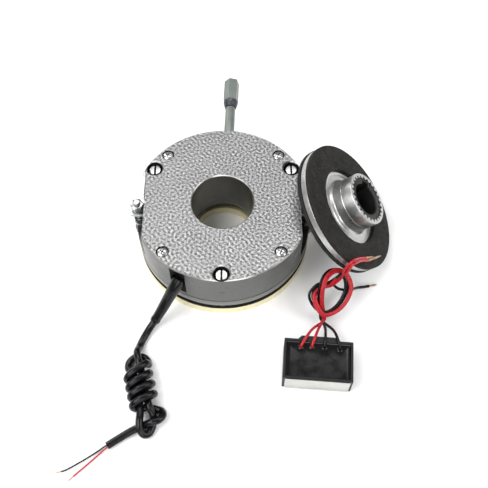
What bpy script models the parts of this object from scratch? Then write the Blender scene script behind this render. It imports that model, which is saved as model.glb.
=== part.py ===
# Spring-applied electromagnetic disc clutch, laid out as its kit: the magnet unit with its
# hand release and cable, the friction rotor with its splined hub, and the rectifier.
# Blender 4.5, metres, +Z up. Every sub-part is one named closed solid.

import math

import bmesh
import bpy
from mathutils import Matrix, Vector

MM = 0.001
GAP = 0.3 * MM

# The kit's box is centred on the origin; the magnet's axis stands off it by this much.
KIT_CENTRE_X = 35.2 * MM
KIT_CENTRE_Y = 0.8 * MM

# Magnet unit, heights above the surface it stands on
FLANGE_RADIUS = 75.2 * MM
FLANGE_TOP = 8.4 * MM
ARMATURE_BOTTOM = 14.7 * MM
ARMATURE_TOP = 21.9 * MM
HOUSING_RADIUS = 75.0 * MM
HOUSING_BOTTOM = 22.7 * MM
HOUSING_TOP = 60.7 * MM
BORE_RADIUS = 26.2 * MM
FLAT_X = 66.0 * MM
LEDGE_Z = 29.7 * MM
COIL_INNER_RADIUS = 37.0 * MM
COIL_OUTER_RADIUS = 56.0 * MM
COIL_GROOVE_TOP = 47.7 * MM
COIL_LOW = 27.7 * MM
ROUND_STEPS = 48
SMALL_STEPS = 16
# Turns the facets of round pieces and holes off the edges of the rings they meet
FACET_PHASE = 4.0

# Fasteners of the magnet unit
BOLT_CIRCLE = 68.0 * MM
BOLT_ANGLES = (270, 30, 150)
COUNTERBORE_RADIUS = 7.0 * MM
COUNTERBORE_DEPTH = 8.8 * MM
BOLT_HEAD_RADIUS = 5.0 * MM
BOLT_HEAD_HEIGHT = 6.0 * MM
BOLT_RADIUS = 3.0 * MM
SCREW_SLOT_WIDTH = 1.5 * MM
SCREW_SLOT_DEPTH = 2.2 * MM
BOLT_HOLE_RADIUS = 3.4 * MM
SLEEVE_RADIUS = 5.0 * MM
SLEEVE_TOP = 39.7 * MM
CROSS_ANGLES = (45, 135, 225, 315)
CROSS_HEAD_RADIUS = 4.4 * MM
CROSS_POCKET_RADIUS = 5.2 * MM
CROSS_POCKET_DEPTH = 2.6 * MM

# Pressure springs in the inner pole
SPRING_COUNT = 6
SPRING_CIRCLE = 31.6 * MM
SPRING_RADIUS = 2.4 * MM
SPRING_WIRE = 0.45 * MM
SPRING_POCKET_RADIUS = 3.3 * MM
SPRING_POCKET_TOP = 35.7 * MM

# Hand release
STUD_X = 72.6 * MM
STUD_RADIUS = 2.5 * MM
STUD_TOP = 59.7 * MM
LUG_RADIUS = 5.5 * MM
NUT_BOTTOM = 51.1 * MM
NUT_HEIGHT = 5.2 * MM
NUT_RADIUS = 5.7 * MM
YOKE_INNER_X = 68.3 * MM
YOKE_INNER_RADIUS = 78.0 * MM
YOKE_THICKNESS = 2.5 * MM
YOKE_BOTTOM = 35.7 * MM
TAB_BOTTOM = 45.7 * MM
TAB_TOP = 48.7 * MM
LEVER_LEAN = 2.0
LEVER_START = Vector((4.0, 78.0, 42.7)) * MM
ROD_RADIUS = 4.6 * MM
ROD_LENGTH = 44.5 * MM
COLLAR_END = 44.0 * MM
COLLAR_START = 36.8 * MM
GRIP_END = 68.8 * MM
GRIP_RADIUS = 7.2 * MM

# Rotor and hub, heights along the rotor's own axis from its front lining face
ROTOR_X = 109.5 * MM
ROTOR_Y = 2.6 * MM
ROTOR_TILT = 45.8
ROTOR_RADIUS = 56.6 * MM
ROTOR_THICKNESS = 12.0 * MM
LINING_THICKNESS = 3.5 * MM
LINING_INNER_RADIUS = 33.8 * MM
BOSS_RADIUS = 22.9 * MM
BOSS_TOP = 17.2 * MM
SPLINE_TEETH = 26
SPLINE_HUB_TIP = 20.6 * MM
SPLINE_HUB_ROOT = 18.7 * MM
SPLINE_CLEARANCE = 0.25 * MM
HUB_BORE_RADIUS = 14.0 * MM
HUB_TOP = 16.2 * MM
HUB_BOTTOM = -21.0 * MM
KEYWAY_WIDTH = 8.0 * MM
KEYWAY_DEPTH = 3.0 * MM

# Rectifier
RECTIFIER_X = 77.8 * MM
RECTIFIER_Y = -125.9 * MM
RECTIFIER_TURN = -4.3
RECTIFIER_SIZE = Vector((56.0, 34.0, 22.0)) * MM
RECTIFIER_WALL = 2.0 * MM
POTTING_TOP = 20.0 * MM
POTTING_BOTTOM = 5.0 * MM
LABEL_THICKNESS = 0.5 * MM

# Cable and leads
CABLE_RADIUS = 2.8 * MM
CORE_RADIUS = 0.8 * MM
LEAD_RADIUS = 1.2 * MM
HANK_RADIUS = 15.0 * MM
HANK_TOP_END = Vector((-67.8, -132.5, 0)) * MM
HANK_LOW_END = Vector((-59.8, -168.9, 0)) * MM
HANK_HEIGHT = 17.0 * MM


# ---- scene and helpers -------------------------------------------------------------------

def clear_scene():
    for obj in list(bpy.data.objects):
        bpy.data.objects.remove(obj, do_unlink=True)


def make_collection(name):
    collection = bpy.data.collections.new(name)
    bpy.context.scene.collection.children.link(collection)
    return collection


def make_material(name, colour, roughness, metallic):
    mat = bpy.data.materials.new(name)
    mat.use_nodes = True
    shader = mat.node_tree.nodes["Principled BSDF"]
    shader.inputs["Base Color"].default_value = (*colour, 1.0)
    shader.inputs["Roughness"].default_value = roughness
    shader.inputs["Metallic"].default_value = metallic
    return mat


def make_empty(name, location, rotation=(0, 0, 0), parent=None):
    empty = bpy.data.objects.new(name, None)
    kit.objects.link(empty)
    empty.location = location
    empty.rotation_euler = rotation
    empty.parent = parent
    return empty


def add_mesh(name, mesh, parent, mat=None, location=(0, 0, 0), rotation=(0, 0, 0)):
    obj = bpy.data.objects.new(name, mesh)
    kit.objects.link(obj)
    obj.parent = parent
    obj.location = location
    obj.rotation_euler = rotation
    if mat:
        mesh.materials.append(mat)
    return obj


def mesh_from_bmesh(name, bm):
    mesh = bpy.data.meshes.new(name)
    bmesh.ops.recalc_face_normals(bm, faces=bm.faces)
    bm.to_mesh(mesh)
    bm.free()
    mesh.shade_smooth()
    mesh.set_sharp_from_angle(angle=math.radians(30))
    return mesh


def cylinder(name, radius, z_low, z_high, parent, mat=None, at=(0, 0), steps=SMALL_STEPS):
    """Upright cylinder between two heights; its origin is on its axis."""
    phase = 0.0 if steps == 6 else math.radians(FACET_PHASE)
    middle = Matrix.Translation((0, 0, (z_low + z_high) / 2))
    bm = bmesh.new()
    bmesh.ops.create_cone(bm, cap_ends=True, segments=steps, radius1=radius, radius2=radius,
                          depth=z_high - z_low, matrix=middle @ Matrix.Rotation(phase, 4, "Z"))
    return add_mesh(name, mesh_from_bmesh(name, bm), parent, mat, (at[0], at[1], 0))


def box(name, low, high, parent, mat=None, location=(0, 0, 0), turn=0.0):
    """Box between two corners, turned about Z at its location."""
    low = Vector(low)
    high = Vector(high)
    size = high - low
    bm = bmesh.new()
    matrix = Matrix.Translation((low + high) / 2) @ Matrix.Diagonal((*size, 1.0))
    bmesh.ops.create_cube(bm, size=1.0, matrix=matrix)
    return add_mesh(name, mesh_from_bmesh(name, bm), parent, mat, location, (0, 0, math.radians(turn)))


def turned(name, profile, parent, mat=None, steps=ROUND_STEPS, ring=True, location=(0, 0, 0)):
    """Solid of revolution: (radius, height) points run down the outer side, then back up."""
    mesh = bpy.data.meshes.new(name)
    count = len(profile)
    edges = [(i, i + 1) for i in range(count - 1)]
    if ring:
        edges.append((count - 1, 0))
    mesh.from_pydata([(radius, 0, height) for radius, height in profile], edges, [])
    obj = add_mesh(name, mesh, parent, mat, location)
    screw = obj.modifiers.new("turn", "SCREW")
    screw.axis = "Z"
    screw.steps = steps
    screw.render_steps = steps
    screw.use_merge_vertices = True
    screw.merge_threshold = 0.00001
    screw.use_smooth_shade = True
    return obj


def extruded(name, outline, z_low, z_high, parent, mat=None):
    """Flat outline, given as (x, y) points, raised between two heights, as a welded mesh."""
    curve = bpy.data.curves.new(name, "CURVE")
    curve.dimensions = "2D"
    curve.fill_mode = "BOTH"
    curve.extrude = (z_high - z_low) / 2
    spline = curve.splines.new("POLY")
    spline.points.add(len(outline) - 1)
    for point, (x, y) in zip(spline.points, outline):
        point.co = (x, y, 0, 1)
    spline.use_cyclic_u = True
    guide = bpy.data.objects.new(name + "_outline", curve)
    kit.objects.link(guide)
    mesh = bpy.data.meshes.new_from_object(guide.evaluated_get(bpy.context.evaluated_depsgraph_get()))
    bpy.data.objects.remove(guide, do_unlink=True)
    bm = bmesh.new()
    bm.from_mesh(mesh)
    bmesh.ops.remove_doubles(bm, verts=bm.verts, dist=0.00001)
    bmesh.ops.translate(bm, verts=bm.verts, vec=(0, 0, (z_low + z_high) / 2))
    return add_mesh(name, mesh_from_bmesh(name, bm), parent, mat)


def tube(name, points, radius, parent, mat, resolution=2, cyclic=False, spacing=None):
    """Round wire or cable on a smooth curve through its route points."""
    route = smooth_route(points, spacing) if spacing else points
    curve = bpy.data.curves.new(name, "CURVE")
    curve.dimensions = "3D"
    curve.bevel_depth = radius
    curve.bevel_resolution = resolution
    curve.use_fill_caps = not cyclic
    curve.render_resolution_u = 0
    spline = curve.splines.new("POLY")
    spline.points.add(len(route) - 1)
    for point, place in zip(spline.points, route):
        point.co = (*place, 1)
    spline.use_cyclic_u = cyclic
    obj = bpy.data.objects.new(name, curve)
    kit.objects.link(obj)
    obj.parent = parent
    curve.materials.append(mat)
    return obj


def smooth_route(points, spacing):
    """Points about one spacing apart on a centripetal Catmull-Rom curve through the route."""
    route = [Vector(point) for point in points]
    padded = [2 * route[0] - route[1], *route, 2 * route[-1] - route[-2]]
    result = [route[0]]
    for a, b, c, d in zip(padded, padded[1:], padded[2:], padded[3:]):
        t1 = (b - a).length ** 0.5
        t2 = t1 + (c - b).length ** 0.5
        t3 = t2 + (d - c).length ** 0.5
        count = max(1, round((c - b).length / spacing))
        for step in range(1, count + 1):
            t = t1 + (t2 - t1) * step / count
            ab = a.lerp(b, t / t1)
            bc = b.lerp(c, (t - t1) / (t2 - t1))
            cd = c.lerp(d, (t - t2) / (t3 - t2))
            abc = ab.lerp(bc, t / t2)
            bcd = bc.lerp(cd, (t - t1) / (t3 - t1))
            result.append(abc.lerp(bcd, (t - t1) / (t2 - t1)))
    return result


def boolean(target, tool, operation):
    """Live EXACT boolean; the tool becomes a hidden wire cutter in the same frame."""
    modifier = target.modifiers.new(operation.lower(), "BOOLEAN")
    modifier.operation = operation
    modifier.solver = "EXACT"
    modifier.object = tool
    if tool.name not in cutters.objects:
        kit.objects.unlink(tool)
        cutters.objects.link(tool)
    tool.hide_render = True
    tool.display_type = "WIRE"


def cut(target, *tools):
    for tool in tools:
        boolean(target, tool, "DIFFERENCE")


def join(target, *tools):
    for tool in tools:
        boolean(target, tool, "UNION")


def on_circle(radius, degrees):
    angle = math.radians(degrees)
    return radius * math.cos(angle), radius * math.sin(angle)


def millimetres(*points):
    return [Vector(point) * MM for point in points]


# ---- magnet unit ---------------------------------------------------------------------------

def make_magnet_housing():
    chamfer = 0.8 * MM
    profile = [
        (HOUSING_RADIUS - chamfer, HOUSING_TOP),
        (HOUSING_RADIUS, HOUSING_TOP - chamfer),
        (HOUSING_RADIUS, HOUSING_BOTTOM),
        (COIL_OUTER_RADIUS, HOUSING_BOTTOM),
        (COIL_OUTER_RADIUS, COIL_GROOVE_TOP),
        (COIL_INNER_RADIUS, COIL_GROOVE_TOP),
        (COIL_INNER_RADIUS, HOUSING_BOTTOM),
        (BORE_RADIUS, HOUSING_BOTTOM),
        (BORE_RADIUS, HOUSING_TOP - chamfer),
        (BORE_RADIUS + chamfer, HOUSING_TOP),
    ]
    housing = turned("magnet_housing", profile, magnet, MATS["steel"])
    cut_flats(housing)
    cut_bolt_holes(housing)
    cut_cross_screw_pockets(housing)
    for index in range(SPRING_COUNT):
        place = on_circle(SPRING_CIRCLE, 60 * index)
        cut(housing, cylinder(f"spring_pocket_{index}", SPRING_POCKET_RADIUS, HOUSING_BOTTOM - MM,
                              SPRING_POCKET_TOP, magnet, at=place, steps=10))
    cut_cable_slot(housing)


def cut_flats(housing):
    """A flat each side down to a ledge, leaving a small ear round the two upper bolts."""
    for side in (-1, 1):
        low = (min(side * FLAT_X, side * 90 * MM), -60 * MM, LEDGE_Z)
        high = (max(side * FLAT_X, side * 90 * MM), 60 * MM, HOUSING_TOP + MM)
        cutter = box(f"flat_{side}", low, high, magnet)
        bolt_angle = 30 if side > 0 else 150
        ear = cylinder(f"ear_{side}", 9.0 * MM, LEDGE_Z - MM, HOUSING_TOP + 2 * MM, magnet,
                       at=on_circle(BOLT_CIRCLE, bolt_angle), steps=24)
        cut(cutter, ear)
        cut(housing, cutter)
        slot_end = 3.2 * MM
        slot = extruded(f"stud_slot_{side}", stud_slot_outline(side, slot_end),
                        HOUSING_BOTTOM - MM, LEDGE_Z + MM, magnet)
        cut(housing, slot)


def stud_slot_outline(side, radius):
    """Open slot for a release stud: a half circle towards the axis, open at the rim."""
    outline = []
    for step in range(13):
        angle = math.radians(90 + 180 * step / 12)
        outline.append((side * (STUD_X + radius * math.cos(angle)), radius * math.sin(angle)))
    outline.append((side * 85 * MM, -radius))
    outline.append((side * 85 * MM, radius))
    return outline if side > 0 else outline[::-1]


def cut_bolt_holes(housing):
    for number, angle in enumerate(BOLT_ANGLES, 1):
        place = on_circle(BOLT_CIRCLE, angle)
        floor = HOUSING_TOP - COUNTERBORE_DEPTH
        cut(housing,
            cylinder(f"counterbore_{number}", COUNTERBORE_RADIUS, floor, HOUSING_TOP + MM,
                     magnet, at=place, steps=24),
            cylinder(f"bolt_hole_{number}", BOLT_HOLE_RADIUS, HOUSING_BOTTOM - MM, floor + MM,
                     magnet, at=place),
            cylinder(f"sleeve_hole_{number}", SLEEVE_RADIUS + 0.4 * MM, HOUSING_BOTTOM - MM,
                     SLEEVE_TOP + GAP, magnet, at=place))


def cut_cross_screw_pockets(housing):
    for number, angle in enumerate(CROSS_ANGLES, 1):
        place = on_circle(BOLT_CIRCLE, angle)
        floor = HOUSING_TOP - CROSS_POCKET_DEPTH
        cut(housing,
            cylinder(f"cross_pocket_{number}", CROSS_POCKET_RADIUS, floor, HOUSING_TOP + MM,
                     magnet, at=place, steps=20),
            cylinder(f"cross_hole_{number}", 2.3 * MM, HOUSING_TOP - 20 * MM, floor + MM,
                     magnet, at=place, steps=12))


def cut_cable_slot(housing):
    """Pocket in the side wall where the coil's cable leaves, under the top face."""
    slot = box("cable_slot", (64.5 * MM, -9.8 * MM, 26.5 * MM), (80 * MM, 4.6 * MM, 58.5 * MM), magnet,
               turn=243.0)
    cut(housing, slot)


def make_coil():
    inner = COIL_INNER_RADIUS + GAP
    outer = COIL_OUTER_RADIUS - GAP
    low = COIL_LOW
    high = COIL_GROOVE_TOP - GAP
    cheek = 1.4 * MM
    barrel = inner + 1.8 * MM
    turned("coil_bobbin", [(outer, high), (outer, high - cheek), (barrel, high - cheek),
                           (barrel, low + cheek), (outer, low + cheek), (outer, low),
                           (inner, low), (inner, high)], magnet, MATS["bobbin"], steps=32)
    turned("coil_winding", [(outer - MM, high - cheek - GAP), (outer - MM, low + cheek + GAP),
                            (barrel + GAP, low + cheek + GAP), (barrel + GAP, high - cheek - GAP)],
           magnet, MATS["copper"], steps=32)
    turned("coil_potting", [(outer, low - GAP), (outer, HOUSING_BOTTOM + 0.2 * MM),
                            (inner, HOUSING_BOTTOM + 0.2 * MM), (inner, low - GAP)],
           magnet, MATS["resin"], steps=32)


def make_armature_plate():
    inner = BORE_RADIUS + 0.6 * MM
    plate = turned("armature_plate", [(HOUSING_RADIUS, ARMATURE_TOP), (HOUSING_RADIUS, ARMATURE_BOTTOM),
                                      (inner, ARMATURE_BOTTOM), (inner, ARMATURE_TOP)],
                   armature, MATS["steel"])
    for side in (-1, 1):
        place = (side * STUD_X, 0)
        join(plate, cylinder(f"armature_lug_{side}", LUG_RADIUS, ARMATURE_BOTTOM + 0.4 * MM,
                             ARMATURE_TOP - 0.4 * MM, armature, at=place))
        cut(plate, cylinder(f"stud_hole_{side}", STUD_RADIUS + GAP, ARMATURE_BOTTOM - MM,
                            ARMATURE_TOP + MM, armature, at=place, steps=12))
    for number, angle in enumerate(BOLT_ANGLES, 1):
        cut(plate, cylinder(f"sleeve_clearance_{number}", SLEEVE_RADIUS + 0.7 * MM,
                            ARMATURE_BOTTOM - MM, ARMATURE_TOP + MM, armature,
                            at=on_circle(BOLT_CIRCLE, angle)))


def make_flange_plate():
    chamfer = 0.5 * MM
    plate = turned("flange_plate", [(FLANGE_RADIUS - chamfer, FLANGE_TOP),
                                    (FLANGE_RADIUS, FLANGE_TOP - chamfer),
                                    (FLANGE_RADIUS, chamfer), (FLANGE_RADIUS - chamfer, 0),
                                    (BORE_RADIUS + chamfer, 0), (BORE_RADIUS, chamfer),
                                    (BORE_RADIUS, FLANGE_TOP)],
                   magnet, MATS["zinc_yellow"])
    for number, angle in enumerate(BOLT_ANGLES, 1):
        cut(plate, cylinder(f"flange_hole_{number}", BOLT_HOLE_RADIUS, -MM, FLANGE_TOP + MM,
                            magnet, at=on_circle(BOLT_CIRCLE, angle), steps=12))


def make_bolts():
    head_bottom = HOUSING_TOP - COUNTERBORE_DEPTH + GAP
    head_top = head_bottom + BOLT_HEAD_HEIGHT
    for number, angle in enumerate(BOLT_ANGLES, 1):
        place = (*on_circle(BOLT_CIRCLE, angle), 0)
        screw = turned(f"mounting_screw_{number}",
                       [(0, head_top), (BOLT_HEAD_RADIUS, head_top), (BOLT_HEAD_RADIUS, head_bottom),
                        (BOLT_RADIUS, head_bottom), (BOLT_RADIUS, 1.0 * MM), (0, 1.0 * MM)],
                       magnet, MATS["zinc_bright"], steps=14, ring=False, location=place)
        cut(screw, box(f"screw_slot_{number}", (-SCREW_SLOT_WIDTH / 2, -6 * MM, head_top - SCREW_SLOT_DEPTH),
                       (SCREW_SLOT_WIDTH / 2, 6 * MM, head_top + MM), magnet, location=place))
        turned(f"sleeve_bolt_{number}", [(SLEEVE_RADIUS, SLEEVE_TOP), (SLEEVE_RADIUS, FLANGE_TOP + GAP),
                                         (BOLT_HOLE_RADIUS, FLANGE_TOP + GAP),
                                         (BOLT_HOLE_RADIUS, SLEEVE_TOP)],
               magnet, MATS["brass"], steps=14, location=place)


def make_cross_screws():
    top = HOUSING_TOP - 0.3 * MM
    under = HOUSING_TOP - CROSS_POCKET_DEPTH + GAP
    for number, angle in enumerate(CROSS_ANGLES, 1):
        place = (*on_circle(BOLT_CIRCLE, angle), 0)
        screw = turned(f"cross_screw_{number}",
                       [(0, top), (CROSS_HEAD_RADIUS * 0.7, top),
                        (CROSS_HEAD_RADIUS, top - 0.7 * MM), (CROSS_HEAD_RADIUS, under),
                        (1.9 * MM, under), (1.9 * MM, top - 14 * MM), (0, top - 14 * MM)],
                       magnet, MATS["zinc_bright"], steps=14, ring=False, location=place)
        for turn in (angle, angle + 90):
            slot = box(f"cross_slot_{number}_{turn}", (-2.4 * MM, -0.5 * MM, top - 1.4 * MM),
                       (2.4 * MM, 0.5 * MM, top + MM), magnet, location=place, turn=turn)
            cut(screw, slot)


def helix(radius_low, radius_high, z_low, z_high, turns, per_turn):
    """Points of a coil spring, closed by a flat half turn at each end."""
    count = int(turns * per_turn)
    result = []
    for step in range(count + 1):
        share = step / count
        radius = radius_low + (radius_high - radius_low) * share
        rise = min(1.0, max(0.0, (share * turns - 0.5) / (turns - 1.0)))
        x, y = on_circle(radius, 360 * turns * share)
        result.append(Vector((x, y, z_low + (z_high - z_low) * rise)))
    return result


def make_pressure_springs():
    low = ARMATURE_TOP + GAP + SPRING_WIRE
    high = SPRING_POCKET_TOP - GAP - SPRING_WIRE
    for index in range(SPRING_COUNT):
        spring = tube(f"pressure_spring_{index + 1}",
                      helix(SPRING_RADIUS, SPRING_RADIUS, low, high, 5, 6), SPRING_WIRE,
                      magnet, MATS["spring_steel"], resolution=0)
        spring.location = (*on_circle(SPRING_CIRCLE, 60 * index), 0)


# ---- hand release --------------------------------------------------------------------------

def make_release_yoke():
    """Strap bent round the back of the housing, with a tab over each stud and a lever boss."""
    outer_x = YOKE_INNER_X + YOKE_THICKNESS
    outer_radius = YOKE_INNER_RADIUS + YOKE_THICKNESS
    leg_front = 7.0 * MM
    outer_angle = math.degrees(math.acos(outer_x / outer_radius))
    inner_angle = math.degrees(math.acos(YOKE_INNER_X / YOKE_INNER_RADIUS))
    arc_steps = 16
    outline = [(outer_x, leg_front)]
    for step in range(arc_steps + 1):
        angle = outer_angle + (180 - 2 * outer_angle) * step / arc_steps
        outline.append(on_circle(outer_radius, angle))
    outline.append((-outer_x, leg_front))
    outline.append((-YOKE_INNER_X, leg_front))
    for step in range(arc_steps + 1):
        angle = 180 - inner_angle - (180 - 2 * inner_angle) * step / arc_steps
        outline.append(on_circle(YOKE_INNER_RADIUS, angle))
    outline.append((YOKE_INNER_X, leg_front))
    yoke = extruded("release_yoke", outline, YOKE_BOTTOM, TAB_TOP, yoke_axis, MATS["zinc_bright"])
    for side in (-1, 1):
        inner = side * 67.0 * MM
        outer = side * 78.5 * MM
        tab = box(f"tab_{side}", (min(inner, outer), -6 * MM, TAB_BOTTOM),
                  (max(inner, outer), 9.5 * MM, TAB_TOP), yoke_axis)
        join(yoke, tab)
        cut(yoke, cylinder(f"tab_hole_{side}", 3.1 * MM, TAB_BOTTOM - MM, TAB_TOP + MM, yoke_axis,
                           at=(side * STUD_X, 0)))
    boss_x = LEVER_START.x
    join(yoke, box("lever_boss", (boss_x - 9 * MM, 78.4 * MM, YOKE_BOTTOM + 0.5 * MM),
                   (boss_x + 9 * MM, 84 * MM, TAB_TOP - 0.4 * MM), yoke_axis))
    bore = cylinder("lever_bore", 4.0 * MM, -8 * MM, 16 * MM, yoke_axis)
    aim_along_lever(bore)
    cut(yoke, bore)


def aim_along_lever(obj):
    """Lay an upright piece along the lever: its +Z runs out to the grip."""
    obj.location = LEVER_START
    obj.rotation_euler = (math.radians(-90), 0, math.radians(-LEVER_LEAN))


def make_lever():
    shoulder = 6.6 * MM
    rod = turned("lever_rod", [(0, ROD_LENGTH), (ROD_RADIUS - 1.2 * MM, ROD_LENGTH),
                               (ROD_RADIUS - 1.2 * MM, COLLAR_START - 0.4 * MM),
                               (ROD_RADIUS, COLLAR_START - 0.4 * MM),
                               (ROD_RADIUS, shoulder), (3.7 * MM, shoulder),
                               (3.7 * MM, 0.6 * MM), (0, 0.6 * MM)],
                 yoke_axis, MATS["lever_paint"], steps=16, ring=False)
    hole = ROD_RADIUS - 1.2 * MM + GAP
    collar = turned("lever_collar", [(GRIP_RADIUS - 0.3 * MM, COLLAR_END),
                                     (ROD_RADIUS + 0.7 * MM, COLLAR_START),
                                     (hole, COLLAR_START), (hole, COLLAR_END)],
                    yoke_axis, MATS["lever_collar"], steps=16)
    grip = cylinder("lever_grip", GRIP_RADIUS, COLLAR_END + GAP, GRIP_END, yoke_axis,
                    MATS["lever_paint"], steps=6)
    bevel = grip.modifiers.new("domed_end", "BEVEL")
    bevel.width = 1.2 * MM
    bevel.segments = 1
    hole_cutter = cylinder("grip_hole", hole, COLLAR_END - MM, ROD_LENGTH + GAP, yoke_axis)
    cut(grip, hole_cutter)
    for piece in (rod, collar, grip, hole_cutter):
        aim_along_lever(piece)


def make_release_studs():
    nut_low = NUT_BOTTOM
    nut_high = NUT_BOTTOM + NUT_HEIGHT
    washer_low = TAB_TOP + 0.5 * MM
    hole = STUD_RADIUS + GAP
    for side, word in ((-1, "left"), (1, "right")):
        place = (side * STUD_X, 0, 0)
        turned(f"release_stud_{word}", [(0, STUD_TOP), (STUD_RADIUS - 0.5 * MM, STUD_TOP),
                                        (STUD_RADIUS, STUD_TOP - 0.5 * MM),
                                        (STUD_RADIUS, ARMATURE_BOTTOM + 0.5 * MM),
                                        (0, ARMATURE_BOTTOM + 0.5 * MM)],
               armature, MATS["zinc_bright"], steps=14, ring=False, location=place)
        nut = cylinder(f"release_nut_{word}", NUT_RADIUS, nut_low, nut_high, armature,
                       MATS["zinc_bright"], at=place[:2], steps=6)
        nut.rotation_euler = (0, 0, math.radians(12))
        cut(nut, cylinder(f"nut_hole_{word}", hole, nut_low - MM, nut_high + MM, armature,
                          at=place[:2], steps=14))
        turned(f"release_washer_{word}", [(4.2 * MM, nut_low - GAP), (4.2 * MM, washer_low + 0.7 * MM),
                                          (3.4 * MM, washer_low), (hole, washer_low),
                                          (hole, nut_low - GAP)],
               armature, MATS["zinc_bright"], steps=14, location=place)
        seat_low = LEDGE_Z + GAP
        seat_high = seat_low + 1.2 * MM
        turned(f"spring_seat_{word}", [(5.2 * MM, seat_high), (5.2 * MM, seat_low), (hole, seat_low),
                                       (hole, seat_high)],
               magnet, MATS["zinc_bright"], steps=14, location=place)
        wire = 0.6 * MM
        spring = tube(f"release_spring_{word}",
                      helix(3.5 * MM, 5.0 * MM, seat_high + GAP + wire, TAB_BOTTOM - GAP - wire, 5, 8),
                      wire, magnet, MATS["spring_black"], resolution=0)
        spring.location = place


# ---- coil cable ----------------------------------------------------------------------------

def make_coil_cable():
    """Strain relief, the uncoiled run, the wrapped hank, the tail and its two cores."""
    boot = millimetres((-35.6, -62.6, 38.7), (-39.5, -67.6, 33.8), (-45.8, -73.5, 23.5),
                       (-51.9, -80.2, 14.6), (-57.7, -86.0, 7.0))
    relief = tube("strain_relief", boot, 5.8 * MM, magnet, MATS["black_rubber"],
                  resolution=3, spacing=8 * MM)
    points = relief.data.splines[0].points
    for index, point in enumerate(points):
        point.radius = 1.0 - 0.32 * index / (len(points) - 1)
    run = millimetres((-58.5, -87.1, 6.3), (-62.2, -92.2, 4.2), (-67.2, -101.5, 3.1),
                      (-69.7, -109.6, 3.1), (-69.7, -116.8, 3.1))
    tube("cable_run", run, CABLE_RADIUS, magnet, MATS["cable"], resolution=2, spacing=8 * MM)
    extruded("cable_hank", hank_outline(), GAP, HANK_HEIGHT, magnet, MATS["cable"])
    tail = millimetres((-72.8, -179.1, 3.1), (-81.0, -184.6, 3.1), (-89.1, -190.0, 3.1))
    tube("cable_tail", tail, CABLE_RADIUS, magnet, MATS["cable"], resolution=2, spacing=8 * MM)
    black = millimetres((-90.0, -189.5, 2.7), (-98.1, -195.0, 1.2), (-109.2, -202.1, 1.2),
                        (-120.2, -208.3, 1.2), (-127.0, -210.0, 1.2))
    red = millimetres((-88.9, -191.6, 2.7), (-96.1, -197.0, 1.2), (-105.7, -205.9, 1.2),
                      (-115.2, -214.5, 1.2), (-116.9, -216.2, 1.2))
    tube("cable_core_black", black, CORE_RADIUS, magnet, MATS["black_wire"], spacing=6 * MM)
    tube("cable_core_red", red, CORE_RADIUS, magnet, MATS["red_wire"], spacing=6 * MM)


def hank_outline():
    """Capsule round the line from the hank's top end to its low end."""
    along = HANK_LOW_END - HANK_TOP_END
    heading = math.degrees(math.atan2(along.y, along.x))
    outline = []
    for centre, start in ((HANK_LOW_END, heading - 90), (HANK_TOP_END, heading + 90)):
        for step in range(13):
            x, y = on_circle(HANK_RADIUS, start + 180 * step / 12)
            outline.append((centre.x + x, centre.y + y))
    return outline


# ---- rotor and hub -------------------------------------------------------------------------

def spline_outline(root, tip, teeth):
    """Toothed ring: trapezoid teeth between a root and a tip radius."""
    outline = []
    pitch = 360 / teeth
    for tooth in range(teeth):
        base = tooth * pitch
        for radius, share in ((root, -0.31), (tip, -0.14), (tip, 0.14), (root, 0.31)):
            outline.append(on_circle(radius, base + share * pitch))
    return outline


def make_rotor_carrier():
    plate_top = -LINING_THICKNESS
    plate_low = -ROTOR_THICKNESS + LINING_THICKNESS
    rim = ROTOR_RADIUS - 0.6 * MM
    neck = 31.0 * MM
    boss_low = -ROTOR_THICKNESS + 0.5 * MM
    bore = 15.0 * MM
    profile = [(rim, plate_top), (rim, plate_low), (BOSS_RADIUS + 1.5 * MM, plate_low),
               (BOSS_RADIUS + 0.5 * MM, boss_low), (bore, boss_low), (bore, BOSS_TOP),
               (BOSS_RADIUS - 0.6 * MM, BOSS_TOP), (BOSS_RADIUS, BOSS_TOP - 0.6 * MM),
               (BOSS_RADIUS, plate_top - 0.5 * MM), (neck, plate_top - 0.5 * MM),
               (neck + MM, plate_top)]
    carrier = turned("rotor_carrier", profile, rotor, MATS["aluminium"])
    outline = spline_outline(SPLINE_HUB_ROOT + SPLINE_CLEARANCE, SPLINE_HUB_TIP + SPLINE_CLEARANCE,
                             SPLINE_TEETH)
    cut(carrier, extruded("spline_cutter", outline, boss_low - MM, BOSS_TOP + MM, rotor))


def make_linings():
    inner = LINING_INNER_RADIUS
    for word, top, low in (("front", 0.0, -LINING_THICKNESS + GAP),
                           ("back", -ROTOR_THICKNESS + LINING_THICKNESS - GAP, -ROTOR_THICKNESS)):
        turned(f"{word}_lining", [(ROTOR_RADIUS, top), (ROTOR_RADIUS, low), (inner, low), (inner, top)],
               rotor, MATS["friction"])


def make_splined_hub():
    outline = spline_outline(SPLINE_HUB_ROOT, SPLINE_HUB_TIP, SPLINE_TEETH)
    narrowed = narrow_teeth(outline)
    hub = extruded("splined_hub", narrowed, HUB_BOTTOM, HUB_TOP, hub_axis, MATS["black_oxide"])
    cut(hub, cylinder("shaft_bore", HUB_BORE_RADIUS, HUB_BOTTOM - MM, HUB_TOP + MM, hub_axis, steps=32))
    cut(hub, box("keyway", (0, -KEYWAY_WIDTH / 2, HUB_BOTTOM - MM),
                 (HUB_BORE_RADIUS + KEYWAY_DEPTH, KEYWAY_WIDTH / 2, HUB_TOP + MM), hub_axis, turn=90))


def narrow_teeth(outline):
    """Take the sliding clearance off both flanks of each tooth (points come in fours)."""
    result = []
    for index, (x, y) in enumerate(outline):
        radius = math.hypot(x, y)
        turn = SPLINE_CLEARANCE / radius * (1 if index % 4 < 2 else -1)
        angle = math.atan2(y, x) + turn
        result.append((radius * math.cos(angle), radius * math.sin(angle)))
    return result


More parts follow.
